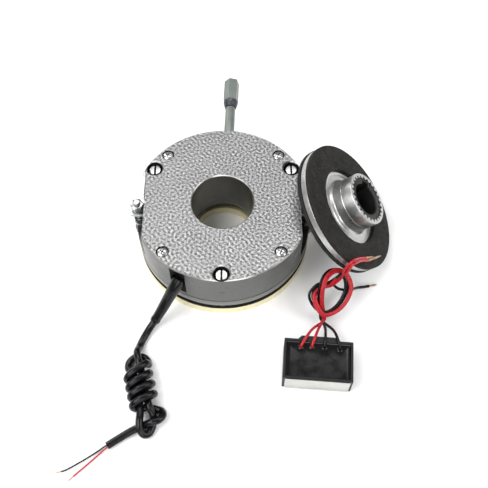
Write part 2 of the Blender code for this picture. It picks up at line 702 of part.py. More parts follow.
# ---- rectifier -----------------------------------------------------------------------------

def make_rectifier():
    half = RECTIFIER_SIZE / 2
    top = RECTIFIER_SIZE.z
    ear = 3.0 * MM
    case = extruded("rectifier_case", [(-half.x, -half.y), (half.x, -half.y), (half.x, half.y),
                                       (17.5 * MM, half.y), (14.5 * MM, half.y + ear),
                                       (-14.0 * MM, half.y + ear), (-17.0 * MM, half.y),
                                       (-half.x, half.y)], 0, top, rectifier, MATS["black_plastic"])
    inner = Vector((half.x - RECTIFIER_WALL, half.y - RECTIFIER_WALL))
    cut(case, box("case_cavity", (-inner.x, -inner.y, POTTING_BOTTOM - GAP),
                  (inner.x, inner.y, top + MM), rectifier))
    box("rectifier_potting", (-inner.x + GAP, -inner.y + GAP, POTTING_BOTTOM),
        (inner.x - GAP, inner.y - GAP, POTTING_TOP), rectifier, MATS["potting"])
    box("rectifier_label", (-half.x + 2 * MM, -half.y - LABEL_THICKNESS - GAP, 1.5 * MM),
        (half.x - 2 * MM, -half.y - GAP, top - 1.5 * MM), rectifier, MATS["label"])


def make_rectifier_leads():
    """Four leads rise out of the potting, cross the back wall and run to their knot."""
    starts = millimetres((64.4, -114.4, 20.5), (73.3, -114.2, 20.5), (83.4, -115.0, 20.5),
                         (95.8, -116.8, 20.5))
    ends = millimetres((80.9, -87.2, 9.1), (83.5, -86.8, 9.1), (86.3, -86.8, 9.1), (89.1, -87.2, 9.1))
    for number, (start, end) in enumerate(zip(starts, ends), 1):
        over_wall = start.lerp(end, 0.28) + Vector((0, 0, 7.0)) * MM
        half_way = start.lerp(end, 0.62) + Vector((0, 0, 5.0)) * MM
        rise = start + Vector((0.0, 1.0, 2.5)) * MM
        mat = MATS["red_wire"] if number < 3 else MATS["black_wire"]
        tube(f"rectifier_lead_{number}", [start, rise, over_wall, half_way, end], LEAD_RADIUS,
             magnet, mat, spacing=5 * MM)


def make_lead_knot():
    """Outer shape of the knotted leads: one leaning oval loop."""
    centre = Vector((90.2, -67.9, 20.7)) * MM
    along = Vector((0.13, 0.70, 0.70)).normalized() * 16.5 * MM
    across = Vector((0.99, -0.13, -0.06)).normalized() * 11.5 * MM
    count = 20
    ring = []
    for step in range(count):
        angle = 2 * math.pi * step / count
        ring.append(centre + along * math.cos(angle) + across * math.sin(angle))
    tube("lead_knot", ring, 4.0 * MM, magnet, MATS["red_wire"], cyclic=True)


def make_lead_tails():
    """Free ends past the knot: two red and one black up over the rotor's rim, one black aside."""
    tails = {
        "lead_tail_1": ((100.4, -60.0, 35.8), (101.6, -58.5, 41.4), (104.4, -58.3, 49.9),
                        (108.9, -54.7, 54.3), (114.7, -49.8, 48.9), (120.2, -44.4, 43.0),
                        (128.7, -38.4, 34.3), (136.7, -33.2, 26.0)),
        "lead_tail_2": ((97.4, -59.2, 38.0), (99.2, -58.9, 44.4), (102.2, -57.7, 53.5),
                        (107.5, -52.0, 57.6), (113.9, -45.8, 50.1), (120.0, -40.3, 44.0)),
        "lead_tail_3": ((94.1, -57.9, 38.8), (94.6, -59.7, 44.0), (96.2, -60.2, 49.9)),
        "lead_tail_4": ((103.7, -62.3, 19.2), (109.3, -58.9, 13.1), (117.0, -53.2, 4.6),
                        (127.1, -50.4, 1.6), (134.3, -48.5, 1.6)),
    }
    for name, route in tails.items():
        mat = MATS["red_wire"] if name[-1] in "12" else MATS["black_wire"]
        tube(name, millimetres(*route), LEAD_RADIUS, magnet, mat, spacing=5 * MM)


# ---- build ---------------------------------------------------------------------------------

clear_scene()
kit = make_collection("electromagnetic_clutch")
cutters = make_collection("cutters")

MATS = {
    "steel": make_material("steel", (0.52, 0.53, 0.52), 0.42, 0.85),
    "zinc_yellow": make_material("zinc_yellow", (0.78, 0.72, 0.48), 0.35, 0.8),
    "zinc_bright": make_material("zinc_bright", (0.72, 0.73, 0.74), 0.3, 0.9),
    "brass": make_material("brass", (0.70, 0.55, 0.25), 0.35, 0.9),
    "bobbin": make_material("bobbin", (0.75, 0.72, 0.62), 0.6, 0.0),
    "copper": make_material("copper", (0.72, 0.32, 0.16), 0.4, 0.9),
    "resin": make_material("resin", (0.06, 0.06, 0.06), 0.4, 0.0),
    "spring_steel": make_material("spring_steel", (0.45, 0.45, 0.46), 0.35, 0.9),
    "spring_black": make_material("spring_black", (0.04, 0.04, 0.04), 0.4, 0.5),
    "lever_paint": make_material("lever_paint", (0.36, 0.38, 0.34), 0.5, 0.1),
    "lever_collar": make_material("lever_collar", (0.12, 0.12, 0.16), 0.4, 0.4),
    "black_rubber": make_material("black_rubber", (0.02, 0.02, 0.02), 0.5, 0.0),
    "cable": make_material("cable", (0.02, 0.02, 0.02), 0.35, 0.0),
    "black_wire": make_material("black_wire", (0.02, 0.02, 0.02), 0.4, 0.0),
    "red_wire": make_material("red_wire", (0.55, 0.05, 0.05), 0.4, 0.0),
    "aluminium": make_material("aluminium", (0.80, 0.80, 0.79), 0.3, 0.95),
    "friction": make_material("friction", (0.07, 0.065, 0.06), 0.85, 0.0),
    "black_oxide": make_material("black_oxide", (0.04, 0.04, 0.04), 0.45, 0.6),
    "black_plastic": make_material("black_plastic", (0.03, 0.03, 0.03), 0.45, 0.0),
    "potting": make_material("potting", (0.01, 0.01, 0.01), 0.08, 0.0),
    "label": make_material("label", (0.75, 0.75, 0.70), 0.35, 0.1),
}

kit_origin = make_empty("kit_origin", (-KIT_CENTRE_X, -KIT_CENTRE_Y, 0))
magnet = make_empty("magnet_frame", (0, 0, 0), parent=kit_origin)
armature = make_empty("armature_frame", (0, 0, 0), parent=kit_origin)
yoke_axis = make_empty("release_frame", (0, 0, 0), parent=kit_origin)
rotor_tilt = math.radians(ROTOR_TILT)
rotor_height = (ROTOR_THICKNESS * math.cos(rotor_tilt) + ROTOR_RADIUS * math.sin(rotor_tilt) + GAP)
rotor = make_empty("rotor_axis", (ROTOR_X, ROTOR_Y, rotor_height), (0, rotor_tilt, 0), kit_origin)
hub_axis = make_empty("hub_axis", (0, 0, 0), parent=rotor)
rectifier = make_empty("rectifier_frame", (RECTIFIER_X, RECTIFIER_Y, 0),
                       (0, 0, math.radians(RECTIFIER_TURN)), kit_origin)

make_magnet_housing()
make_coil()
make_armature_plate()
make_flange_plate()
make_bolts()
make_cross_screws()
make_pressure_springs()
make_release_yoke()
make_lever()
make_release_studs()
make_coil_cable()
make_rotor_carrier()
make_linings()
make_splined_hub()
make_rectifier()
make_rectifier_leads()
make_lead_knot()
make_lead_tails()
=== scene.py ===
from math import radians

import bmesh
import bpy
import numpy as np
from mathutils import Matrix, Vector


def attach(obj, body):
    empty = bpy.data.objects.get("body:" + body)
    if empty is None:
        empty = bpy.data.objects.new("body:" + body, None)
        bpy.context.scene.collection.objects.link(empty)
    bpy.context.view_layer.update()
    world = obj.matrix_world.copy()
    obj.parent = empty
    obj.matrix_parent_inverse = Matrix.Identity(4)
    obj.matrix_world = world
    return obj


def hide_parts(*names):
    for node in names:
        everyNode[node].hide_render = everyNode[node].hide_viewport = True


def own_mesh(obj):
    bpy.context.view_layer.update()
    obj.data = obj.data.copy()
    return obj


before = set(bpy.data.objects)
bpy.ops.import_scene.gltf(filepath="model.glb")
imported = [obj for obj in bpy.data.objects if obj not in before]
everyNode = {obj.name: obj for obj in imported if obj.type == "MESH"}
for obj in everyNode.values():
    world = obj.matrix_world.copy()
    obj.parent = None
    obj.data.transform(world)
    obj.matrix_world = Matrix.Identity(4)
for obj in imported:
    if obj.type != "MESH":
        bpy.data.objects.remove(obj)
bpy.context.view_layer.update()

# Spring-applied electromagnetic clutch: magnet unit with hand release, friction rotor on its
# splined hub, rectifier block, and their cables. Shapes are worked out in millimetres from the
# magnet's own axis and moved into the frame at the end.

mm = 0.001
kitShift = np.array([35.2, 0.8, 0.0])


def magnetFrame(points):
    # millimetres from the magnet's axis, into metres in the frame
    return (np.asarray(points, float) - kitShift) * mm


def turnedFrame(origin, xAxis, yAxis, zAxis):
    # a point is the origin plus its three coordinates times the three axes
    axes = np.array([xAxis, yAxis, zAxis], float)

    def put(points):
        return magnetFrame(np.asarray(points, float) @ axes + np.asarray(origin, float))
    return put


def shifted(x, y):
    # the magnet's frame moved sideways: point + (x, y, 0)
    return lambda points: magnetFrame(np.asarray(points, float) + np.array([x, y, 0.0]))


rotorPlace = dict(centre=(109.5, 2.6, 49.24), tilt=45.8)
tilt = radians(rotorPlace["tilt"])
rotorFrame = turnedFrame(rotorPlace["centre"], (np.cos(tilt), 0, -np.sin(tilt)), (0, 1, 0),
                         (np.sin(tilt), 0, np.cos(tilt)))
leverPlace = dict(start=(4.0, 78.0, 42.7), lean=2.0)
lean = radians(leverPlace["lean"])
leverFrame = turnedFrame(leverPlace["start"], (np.cos(lean), -np.sin(lean), 0), (0, 0, -1),
                         (np.sin(lean), np.cos(lean), 0))
rectifierPlace = dict(centre=(77.8, -125.9, 0.0), turn=-4.3)
turn = radians(rectifierPlace["turn"])
rectifierFrame = turnedFrame(rectifierPlace["centre"], (np.cos(turn), np.sin(turn), 0),
                             (-np.sin(turn), np.cos(turn), 0), (0, 0, 1))


def gridQuads(rows, columns, closeRows=False, closeColumns=False):
    # each point of a grid joined to its neighbours in the next row and the next column
    r = np.arange(rows if closeRows else rows - 1)[:, None]
    c = np.arange(columns if closeColumns else columns - 1)[None, :]
    down, right = (r + 1) % rows, (c + 1) % columns
    return np.stack([r * columns + c, r * columns + right, down * columns + right,
                     down * columns + c], -1).reshape(-1, 4)


def cappedRings(rows, count):
    # the quads between closed rings of count points, with one flat face over each end ring
    rings = list(gridQuads(rows, count, False, True))
    return rings + [list(range(count))[::-1], list(range((rows - 1) * count, rows * count))]


def meshObject(name, points, faces, sharpAngle=32):
    # points in metres and faces become one object at the origin, welded, with its faces outwards
    mesh = bpy.data.meshes.new(name)
    mesh.from_pydata(np.asarray(points, float).reshape(-1, 3).tolist(), [],
                     [list(map(int, face)) for face in faces])
    work = bmesh.new()
    work.from_mesh(mesh)
    bmesh.ops.remove_doubles(work, verts=work.verts, dist=1e-7)
    bmesh.ops.dissolve_degenerate(work, edges=work.edges, dist=1e-8)
    bmesh.ops.recalc_face_normals(work, faces=work.faces)
    work.to_mesh(mesh)
    work.free()
    mesh.shade_smooth()
    mesh.set_sharp_from_angle(angle=radians(sharpAngle))
    piece = bpy.data.objects.new(name, mesh)
    bpy.context.scene.collection.objects.link(piece)
    return piece


def eased(points, reach, steps=3, closed=True):
    # every corner of a polyline is cut back by reach along both sides and rounded: the new points
    # are (1-t)^2 a + 2 t (1-t) corner + t^2 b between the two cut points a and b
    points = np.asarray(points, float)
    before, after = np.roll(points, 1, 0), np.roll(points, -1, 0)
    reach = np.broadcast_to(np.asarray(reach, float), len(points)).copy()
    lengthBefore = np.linalg.norm(before - points, axis=1)
    lengthAfter = np.linalg.norm(after - points, axis=1)
    if not closed:
        reach[[0, -1]] = 0
    reach = np.minimum(reach, 0.49 * np.minimum(lengthBefore, lengthAfter))
    start = points + (before - points) * (reach / lengthBefore)[:, None]
    end = points + (after - points) * (reach / lengthAfter)[:, None]
    t = np.linspace(0, 1, steps + 1)[None, :, None]
    arcs = ((1 - t) ** 2 * start[:, None] + 2 * t * (1 - t) * points[:, None]
            + t ** 2 * end[:, None])
    out = arcs.reshape(-1, points.shape[1])
    keep = np.linalg.norm(out - np.roll(out, 1, 0), axis=1) > 1e-6
    keep[0] = True
    return out[keep]


def turned(name, profile, frameOf, steps=96, closed=True):
    # radius and height along the profile, carried round the axis: x = r cos a, y = r sin a
    profile = np.asarray(profile, float)
    a = np.linspace(0, 2 * np.pi, steps, endpoint=False)[None, :]
    r, z = profile[:, :1], profile[:, 1:]
    points = np.stack([r * np.cos(a), r * np.sin(a), z + 0 * a], -1)
    quads = gridQuads(len(profile), steps, closed, True)
    return meshObject(name, frameOf(points.reshape(-1, 3)), quads)


def raised(name, outline, low, high, frameOf, edge=0.0, edgeSteps=3):
    # a closed outline raised from low to high; its two edges follow a quarter round of size edge,
    # where the outline draws in by edge (1 - sin a) and the height closes by edge (1 - cos a)
    outline = np.asarray(outline, float)
    a = np.linspace(0, np.pi / 2, edgeSteps + 1) if edge else np.zeros(1)
    inset = np.concatenate([edge * (1 - np.sin(a)), edge * (1 - np.sin(a[::-1]))])
    height = np.concatenate([low + edge * (1 - np.cos(a)), high - edge * (1 - np.cos(a[::-1]))])
    ahead, behind = np.roll(outline, -1, 0) - outline, outline - np.roll(outline, 1, 0)
    normal = lambda d: np.stack([d[:, 1], -d[:, 0]], 1) / np.linalg.norm(d, axis=1)[:, None]
    first, second = normal(behind), normal(ahead)
    outward = (first + second) / (1 + (first * second).sum(1))[:, None]
    turning = np.sum(outline[:, 0] * np.roll(outline[:, 1], -1)
                     - outline[:, 1] * np.roll(outline[:, 0], -1))
    outward *= np.sign(turning)
    rings = outline[None] - inset[:, None, None] * outward[None]
    points = np.concatenate([rings, np.broadcast_to(height[:, None, None], rings.shape[:2] + (1,))], -1)
    rows, count = points.shape[:2]
    return meshObject(name, frameOf(points.reshape(-1, 3)), cappedRings(rows, count))


def smoothLine(route, spacing):
    # a centripetal Catmull-Rom curve through the route, read at even steps of its own length
    route = np.asarray(route, float)
    route = np.vstack([2 * route[0] - route[1], route, 2 * route[-1] - route[-2]])
    a, b, c, d = route[:-3], route[1:-2], route[2:-1], route[3:]
    gap = lambda p, q: np.sqrt(np.linalg.norm(q - p, axis=1))[:, None, None]
    t1 = gap(a, b)
    t2 = t1 + gap(b, c)
    t3 = t2 + gap(c, d)
    t = t1 + (t2 - t1) * np.linspace(0, 1, 40, endpoint=False)[None, :, None]
    a, b, c, d = a[:, None], b[:, None], c[:, None], d[:, None]
    ab = a + (b - a) * t / t1
    bc = b + (c - b) * (t - t1) / (t2 - t1)
    cd = c + (d - c) * (t - t2) / (t3 - t2)
    abc = ab + (bc - ab) * t / t2
    bcd = bc + (cd - bc) * (t - t1) / (t3 - t1)
    line = (abc + (bcd - abc) * (t - t1) / (t2 - t1)).reshape(-1, 3)
    line = np.vstack([line, route[-2]])
    along = np.concatenate([[0], np.cumsum(np.linalg.norm(np.diff(line, axis=0), axis=1))])
    steps = np.linspace(0, along[-1], max(2, int(round(along[-1] / spacing)) + 1))
    return np.stack([np.interp(steps, along, line[:, k]) for k in range(3)], 1)


def carriedAxes(line):
    # directions across a line that turn with it and don't twist about it
    ahead = np.gradient(line, axis=0)
    ahead /= np.linalg.norm(ahead, axis=1)[:, None]
    start = np.cross(ahead[0], (0, 0, 1.0) if abs(ahead[0, 2]) < 0.9 else (1.0, 0, 0))
    side = np.empty_like(ahead)
    side[0] = start / np.linalg.norm(start)
    for i in range(1, len(line)):
        across = side[i - 1] - ahead[i] * (side[i - 1] @ ahead[i])
        side[i] = across / np.linalg.norm(across)
    return side, np.cross(ahead, side)


def tube(name, line, radius, sides, frameOf=magnetFrame, endRound=0.2):
    # a ring of points round each point of the line: centre + r (cos a side + sin a up); each end
    # has four more rings, set back by e r (1 - cos b) and smaller by e r (1 - sin b), where e is
    # endRound and b goes up to a quarter turn
    line = np.asarray(line, float)
    side, up = carriedAxes(line)
    radius = np.broadcast_to(np.asarray(radius, float), len(line)).copy()
    b = np.linspace(0, np.pi / 2, 5)[:-1]
    back, shrink = endRound * (1 - np.cos(b)), 1 - endRound * (1 - np.sin(b))
    lead, trail = line[1] - line[0], line[-2] - line[-1]
    lead, trail = lead / np.linalg.norm(lead), trail / np.linalg.norm(trail)
    line = np.vstack([line[0] + lead * (radius[0] * back)[:, None], line,
                      line[-1] + trail * (radius[-1] * back[::-1])[:, None]])
    radius = np.concatenate([radius[0] * shrink, radius, radius[-1] * shrink[::-1]])
    side, up = [np.vstack([np.repeat(axis[:1], 4, 0), axis, np.repeat(axis[-1:], 4, 0)])
                for axis in (side, up)]
    a = np.linspace(0, 2 * np.pi, sides, endpoint=False)[None, :, None]
    rings = line[:, None] + radius[:, None, None] * (np.cos(a) * side[:, None] + np.sin(a) * up[:, None])
    return meshObject(name, frameOf(rings.reshape(-1, 3)), cappedRings(len(line), sides), 40)


def cutAway(piece, tools, join=False):
    # the tools' volumes are taken off the piece, or joined to it, and then deleted
    for tool in tools:
        change = piece.modifiers.new("shape", "BOOLEAN")
        change.operation = "UNION" if join else "DIFFERENCE"
        change.solver = "EXACT"
        change.object = tool
    settle(piece)
    for tool in tools:
        bpy.data.objects.remove(tool, do_unlink=True)
    piece.data.set_sharp_from_angle(angle=radians(28))
    return piece


def settle(piece):
    # the modifiers' result becomes the piece's own mesh
    shape = piece.evaluated_get(bpy.context.evaluated_depsgraph_get())
    mesh = bpy.data.meshes.new_from_object(shape)
    piece.modifiers.clear()
    piece.data = mesh
    mesh.name = piece.name


def softEdges(piece, width, segments=2, angle=35):
    # a small rounding on the edges, and face-weighted normals so that flats stay flat
    soft = piece.modifiers.new("edges", "BEVEL")
    soft.width = width * mm
    soft.segments = segments
    soft.limit_method = "ANGLE"
    soft.angle_limit = radians(angle)
    soft.use_clamp_overlap = True
    even = piece.modifiers.new("normals", "WEIGHTED_NORMAL")
    even.keep_sharp = True
    settle(piece)
    return piece


def copied(name, node):
    # a welded copy of a CAD node's shape
    mesh = everyNode[node].data.copy()
    work = bmesh.new()
    work.from_mesh(mesh)
    bmesh.ops.remove_doubles(work, verts=work.verts, dist=2e-6)
    bmesh.ops.dissolve_limit(work, angle_limit=radians(1), verts=work.verts, edges=work.edges)
    work.to_mesh(mesh)
    work.free()
    mesh.shade_smooth()
    mesh.set_sharp_from_angle(angle=radians(30))
    piece = bpy.data.objects.new(name, mesh)
    bpy.context.scene.collection.objects.link(piece)
    return piece


def finish(piece, body, kind, *nodes):
    # the piece gets its finish, the body that it moves with and the CAD nodes that it stands for
    piece.data.materials.clear()
    piece.data.materials.append(finishes[kind])
    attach(piece, body)
    if nodes:
        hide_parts(*nodes)


def readAll(items, value, width=1, kind=float):
    # one stored value of every item, as a whole array
    out = np.empty(len(items) * width, kind)
    items.foreach_get(value, out)
    return out.reshape(-1, width) if width > 1 else out


def faceMiddles(mesh):
    # the faces' middles in millimetres from the magnet's axis
    return readAll(mesh.polygons, "center", 3) / mm + kitShift


def partly(piece, second, test):
    # faces whose middles pass the test get a second finish
    chosen = test(faceMiddles(piece.data))
    piece.data.materials.append(finishes[second])
    piece.data.polygons.foreach_set("material_index", chosen.astype(np.int32))
    piece.data.update()


def onCircle(radius, degrees):
    # x = r cos a, y = r sin a
    return radius * np.cos(radians(degrees)), radius * np.sin(radians(degrees))


class Finish:
    # one material, and short ways to add the nodes that vary it over the surface
    def __init__(self, name, metallic=0.0, roughness=0.5, colour=(0.5, 0.5, 0.5), specular=0.5):
        self.material = bpy.data.materials.new(name)
        self.material.use_nodes = True
        self.tree = self.material.node_tree
        self.shader = self.tree.nodes["Principled BSDF"]
        self.shader.inputs["Base Color"].default_value = (*colour, 1)
        self.shader.inputs["Metallic"].default_value = metallic
        self.shader.inputs["Roughness"].default_value = roughness
        self.shader.inputs["Specular IOR Level"].default_value = specular
        self.where = self.tree.nodes.new("ShaderNodeTexCoord").outputs["Object"]
        self.height = None

    def noise(self, scale, detail=3.0, roughness=0.55, distortion=0.0, stretch=(1, 1, 1)):
        place = self.where
        if stretch != (1, 1, 1):
            mapping = self.tree.nodes.new("ShaderNodeMapping")
            mapping.inputs["Scale"].default_value = stretch
            self.tree.links.new(place, mapping.inputs["Vector"])
            place = mapping.outputs["Vector"]
        node = self.tree.nodes.new("ShaderNodeTexNoise")
        node.inputs["Scale"].default_value = scale
        node.inputs["Detail"].default_value = detail
        node.inputs["Roughness"].default_value = roughness
        node.inputs["Distortion"].default_value = distortion
        self.tree.links.new(place, node.inputs["Vector"])
        return node.outputs["Fac"]

    def attribute(self, name):
        node = self.tree.nodes.new("ShaderNodeAttribute")
        node.attribute_name = name
        return node.outputs["Fac"]

    def cells(self, scale):
        node = self.tree.nodes.new("ShaderNodeTexVoronoi")
        node.inputs["Scale"].default_value = scale
        self.tree.links.new(self.where, node.inputs["Vector"])
        return node.outputs["Distance"]

    def ramp(self, value, *stops):
        node = self.tree.nodes.new("ShaderNodeValToRGB")
        band = node.color_ramp
        while len(band.elements) < len(stops):
            band.elements.new(0.5)
        for element, (position, colour) in zip(band.elements, stops):
            element.position = position
            element.color = (*(colour if isinstance(colour, tuple) else (colour,) * 3), 1)
        self.tree.links.new(value, node.inputs["Fac"])
        return node.outputs["Color"]

    def blend(self, mode, factor, first, second):
        node = self.tree.nodes.new("ShaderNodeMix")
        node.data_type = "RGBA"
        node.blend_type = mode
        node.inputs["Factor"].default_value = factor
        self.tree.links.new(first, node.inputs["A"])
        self.tree.links.new(second, node.inputs["B"])
        return node.outputs["Result"]

    def range(self, value, low, high, fromLow=0.3, fromHigh=0.7):
        node = self.tree.nodes.new("ShaderNodeMapRange")
        for socket, number in (("From Min", fromLow), ("From Max", fromHigh), ("To Min", low),
                               ("To Max", high)):
            node.inputs[socket].default_value = number
        self.tree.links.new(value, node.inputs["Value"])
        return node.outputs["Result"]

    def colour(self, value):
        self.tree.links.new(value, self.shader.inputs["Base Color"])

    def rough(self, value):
        self.tree.links.new(value, self.shader.inputs["Roughness"])

    def bump(self, value, strength, distance):
        node = self.tree.nodes.new("ShaderNodeBump")
        node.inputs["Strength"].default_value = strength
        node.inputs["Distance"].default_value = distance * mm
        self.tree.links.new(value, node.inputs["Height"])
        if self.height is not None:
            self.tree.links.new(self.height, node.inputs["Normal"])
        self.height = node.outputs["Normal"]
        self.tree.links.new(self.height, self.shader.inputs["Normal"])


def wrinkleFinish():
    # hammered casting: the mesh's own relief, with a painted highlight on its ridges and painted shade in
    # its valleys
    f = Finish("hammeredCasting", metallic=0.9, roughness=0.34)
    relief = f.attribute("relief")
    # tone: painted highlight on the relief's ridges and painted shade in its valleys; patches and grain
    # below are the paint's own random tone
    tone = f.ramp(relief, (0.12, 0.17), (0.42, 0.31), (0.62, 0.42), (0.9, 0.58))
    patches = f.ramp(f.noise(22, 3), (0.3, 0.86), (0.7, 1.0))
    fine = f.noise(950, 3, 0.6, 1.2)
    grain = f.ramp(fine, (0.34, 0.62), (0.66, 1.0))
    f.colour(f.blend("MULTIPLY", 1.0, f.blend("MULTIPLY", 1.0, tone, patches), grain))
    f.rough(f.range(relief, 0.50, 0.34, 0.2, 0.8))
    f.bump(fine, 0.6, 0.16)
    return f.material


def machinedFinish(name, dark, light, roughness, stretch=(1, 1, 14), scale=240, metallic=1.0):
    # turned metal: fine lines round the part, soft cloudy patches, slight change of gloss
    f = Finish(name, metallic=metallic, roughness=roughness)
    lines = f.noise(scale, 4, 0.6, stretch=stretch)
    clouds = f.noise(36, 3)
    tone = f.ramp(lines, (0.3, dark), (0.7, light))
    f.colour(f.blend("MULTIPLY", 0.8, tone, f.ramp(clouds, (0.3, 0.82), (0.7, 1.0))))
    f.rough(f.range(clouds, roughness - 0.06, roughness + 0.10))
    f.bump(lines, 0.12, 0.05)
    return f.material


def plainFinish(name, dark, light, roughness, metallic=0.0, grain=420, bumpSize=0.05, specular=0.5):
    # moulded or plated surface: close grain in its tone, its gloss and its height
    f = Finish(name, metallic=metallic, roughness=roughness, specular=specular)
    speck = f.noise(grain, 4, 0.6)
    clouds = f.noise(60, 3)
    f.colour(f.ramp(clouds, (0.3, dark), (0.7, light)))
    f.rough(f.range(speck, roughness - 0.06, roughness + 0.08))
    f.bump(speck, 0.25, bumpSize)
    return f.material


def frictionFinish():
    # pressed friction lining: dark brown-grey, scattered light fibres and flecks, matt
    f = Finish("frictionLining", roughness=0.72, specular=0.2)
    base = f.ramp(f.noise(120, 5, 0.65), (0.3, (0.009, 0.0085, 0.008)), (0.7, (0.022, 0.021, 0.019)))
    flecks = f.ramp(f.cells(420), (0.0, (0.42, 0.40, 0.36)), (0.16, (0.0, 0.0, 0.0)))
    scatter = f.ramp(f.noise(160, 2), (0.50, 0.0), (0.62, 1.0))
    spots = f.blend("MULTIPLY", 1.0, flecks, scatter)
    f.colour(f.blend("ADD", 0.6, base, spots))
    f.rough(f.range(f.noise(300, 3), 0.60, 0.82))
    f.bump(f.noise(700, 4, 0.65), 0.4, 0.10)
    return f.material


def plasticFinish(name, dark, light, roughness, scale=300, specular=0.5, bumpSize=0.03):
    # soft vinyl: nearly one colour, with a slight sheen that comes and goes along it
    f = Finish(name, roughness=roughness, specular=specular)
    clouds = f.noise(scale, 3)
    f.colour(f.ramp(clouds, (0.3, dark), (0.7, light)))
    f.rough(f.range(f.noise(90, 2), roughness - 0.07, roughness + 0.10))
    f.bump(clouds, 0.2, bumpSize)
    return f.material


jetBlack = (0.002, 0.002, 0.003), (0.005, 0.005, 0.006)
finishes = dict(
    casting=wrinkleFinish(),
    side=machinedFinish("turnedSteel", (0.10, 0.103, 0.10), (0.16, 0.162, 0.158), 0.32),
    # rim: a much lighter copy of the turned steel, a painted highlight on the housing's chamfers
    rim=machinedFinish("paintedEdgeHighlight", (0.42, 0.42, 0.41), (0.58, 0.58, 0.57), 0.32),
    # slot: a flat dark grey, painted shade on the walls of the cable slot
    slotShade=plainFinish("slotWallShade", (0.050, 0.050, 0.050), (0.085, 0.085, 0.083), 0.5),
    # pit: nearly black steel, painted shade in counterbores, pockets, screw slots, cross recesses and the
    # gap under the armature
    pitShade=machinedFinish("paintedPitShade", (0.020, 0.020, 0.020), (0.045, 0.045, 0.045), 0.5, metallic=0.6),
    bore=machinedFinish("boredSteel", (0.17, 0.17, 0.16), (0.25, 0.25, 0.235), 0.42),
    plate=machinedFinish("groundSteel", (0.17, 0.17, 0.165), (0.25, 0.25, 0.24), 0.32),
    yellowZinc=plainFinish("yellowZinc", (0.76, 0.70, 0.45), (0.86, 0.80, 0.55), 0.34,
                           metallic=0.85),
    brightZinc=plainFinish("brightZinc", (0.41, 0.42, 0.42), (0.53, 0.54, 0.54), 0.26,
                           metallic=1.0),
    brass=plainFinish("brass", (0.55, 0.40, 0.16), (0.70, 0.54, 0.24), 0.3, metallic=1.0),
    springSteel=plainFinish("springSteel", (0.30, 0.30, 0.31), (0.42, 0.42, 0.43), 0.32,
                            metallic=1.0),
    springBlack=plainFinish("springBlack", (0.016, 0.016, 0.018), (0.035, 0.035, 0.038), 0.34,
                            metallic=0.3),
    leverPaint=plainFinish("leverPaint", (0.155, 0.175, 0.160), (0.215, 0.235, 0.215), 0.38,
                           metallic=0.35, grain=260),
    leverCollar=plainFinish("leverCollar", (0.038, 0.040, 0.050), (0.068, 0.072, 0.085), 0.32,
                            metallic=0.5),
    bobbin=plainFinish("bobbinPlastic", (0.55, 0.50, 0.38), (0.66, 0.61, 0.48), 0.5),
    copper=plainFinish("copperWire", (0.55, 0.24, 0.11), (0.75, 0.36, 0.18), 0.3, metallic=1.0),
    resin=plainFinish("pottingResin", (0.03, 0.03, 0.03), (0.05, 0.05, 0.05), 0.35),
    rubber=plasticFinish("blackRubber", *jetBlack, 0.20, specular=0.3),
    sheath=plasticFinish("cableSheath", *jetBlack, 0.20, specular=0.28),
    blackWire=plasticFinish("blackWire", *jetBlack, 0.22, specular=0.25),
    redWire=plasticFinish("redWire", (0.38, 0.008, 0.014), (0.50, 0.015, 0.024), 0.28, specular=0.4),
    tin=plainFinish("bareStrands", (0.42, 0.27, 0.17), (0.60, 0.44, 0.31), 0.30, metallic=1.0,
                    grain=900),
    aluminium=machinedFinish("turnedAluminium", (0.50, 0.50, 0.49), (0.66, 0.66, 0.65), 0.33,
                             stretch=(1, 1, 1), scale=320),
    friction=frictionFinish(),
    blackOxide=plainFinish("blackOxide", (0.006, 0.006, 0.006), (0.014, 0.014, 0.014), 0.42,
                           specular=0.3),
    casePlastic=plainFinish("casePlastic", (0.004, 0.004, 0.004), (0.009, 0.009, 0.009), 0.48,
                            grain=800, bumpSize=0.04, specular=0.35),
    gloss=plasticFinish("pottingGloss", (0.003, 0.003, 0.003), (0.005, 0.005, 0.005), 0.12,
                        scale=60, bumpSize=0.02, specular=0.3),
    foil=plainFinish("labelFoil", (0.50, 0.50, 0.47), (0.62, 0.62, 0.58), 0.36, metallic=0.35,
                     grain=500),
)


studio = dict(place=(18.0, -336.4, 584.75), pitch=29.39, lens=54.59)
camera = bpy.data.objects.new("camera", bpy.data.cameras.new("camera"))
camera.location = Vector(magnetFrame(studio["place"]))
camera.rotation_euler = (radians(studio["pitch"]), 0, 0)
camera.data.lens = studio["lens"]
camera.data.sensor_width = 36
camera.data.clip_start, camera.data.clip_end = 0.01, 20
bpy.context.scene.collection.objects.link(camera)
bpy.context.scene.camera = camera

floor = meshObject("floor", [(-4, -4, 0), (4, -4, 0), (4, 4, 0), (-4, 4, 0)], [(0, 1, 2, 3)])
pale = Finish("paleFloor", roughness=0.65, colour=(0.9, 0.9, 0.9), specular=0.2)
pale.colour(pale.ramp(pale.noise(3, 2), (0.3, 0.95), (0.7, 0.97)))
floor.data.materials.append(pale.material)

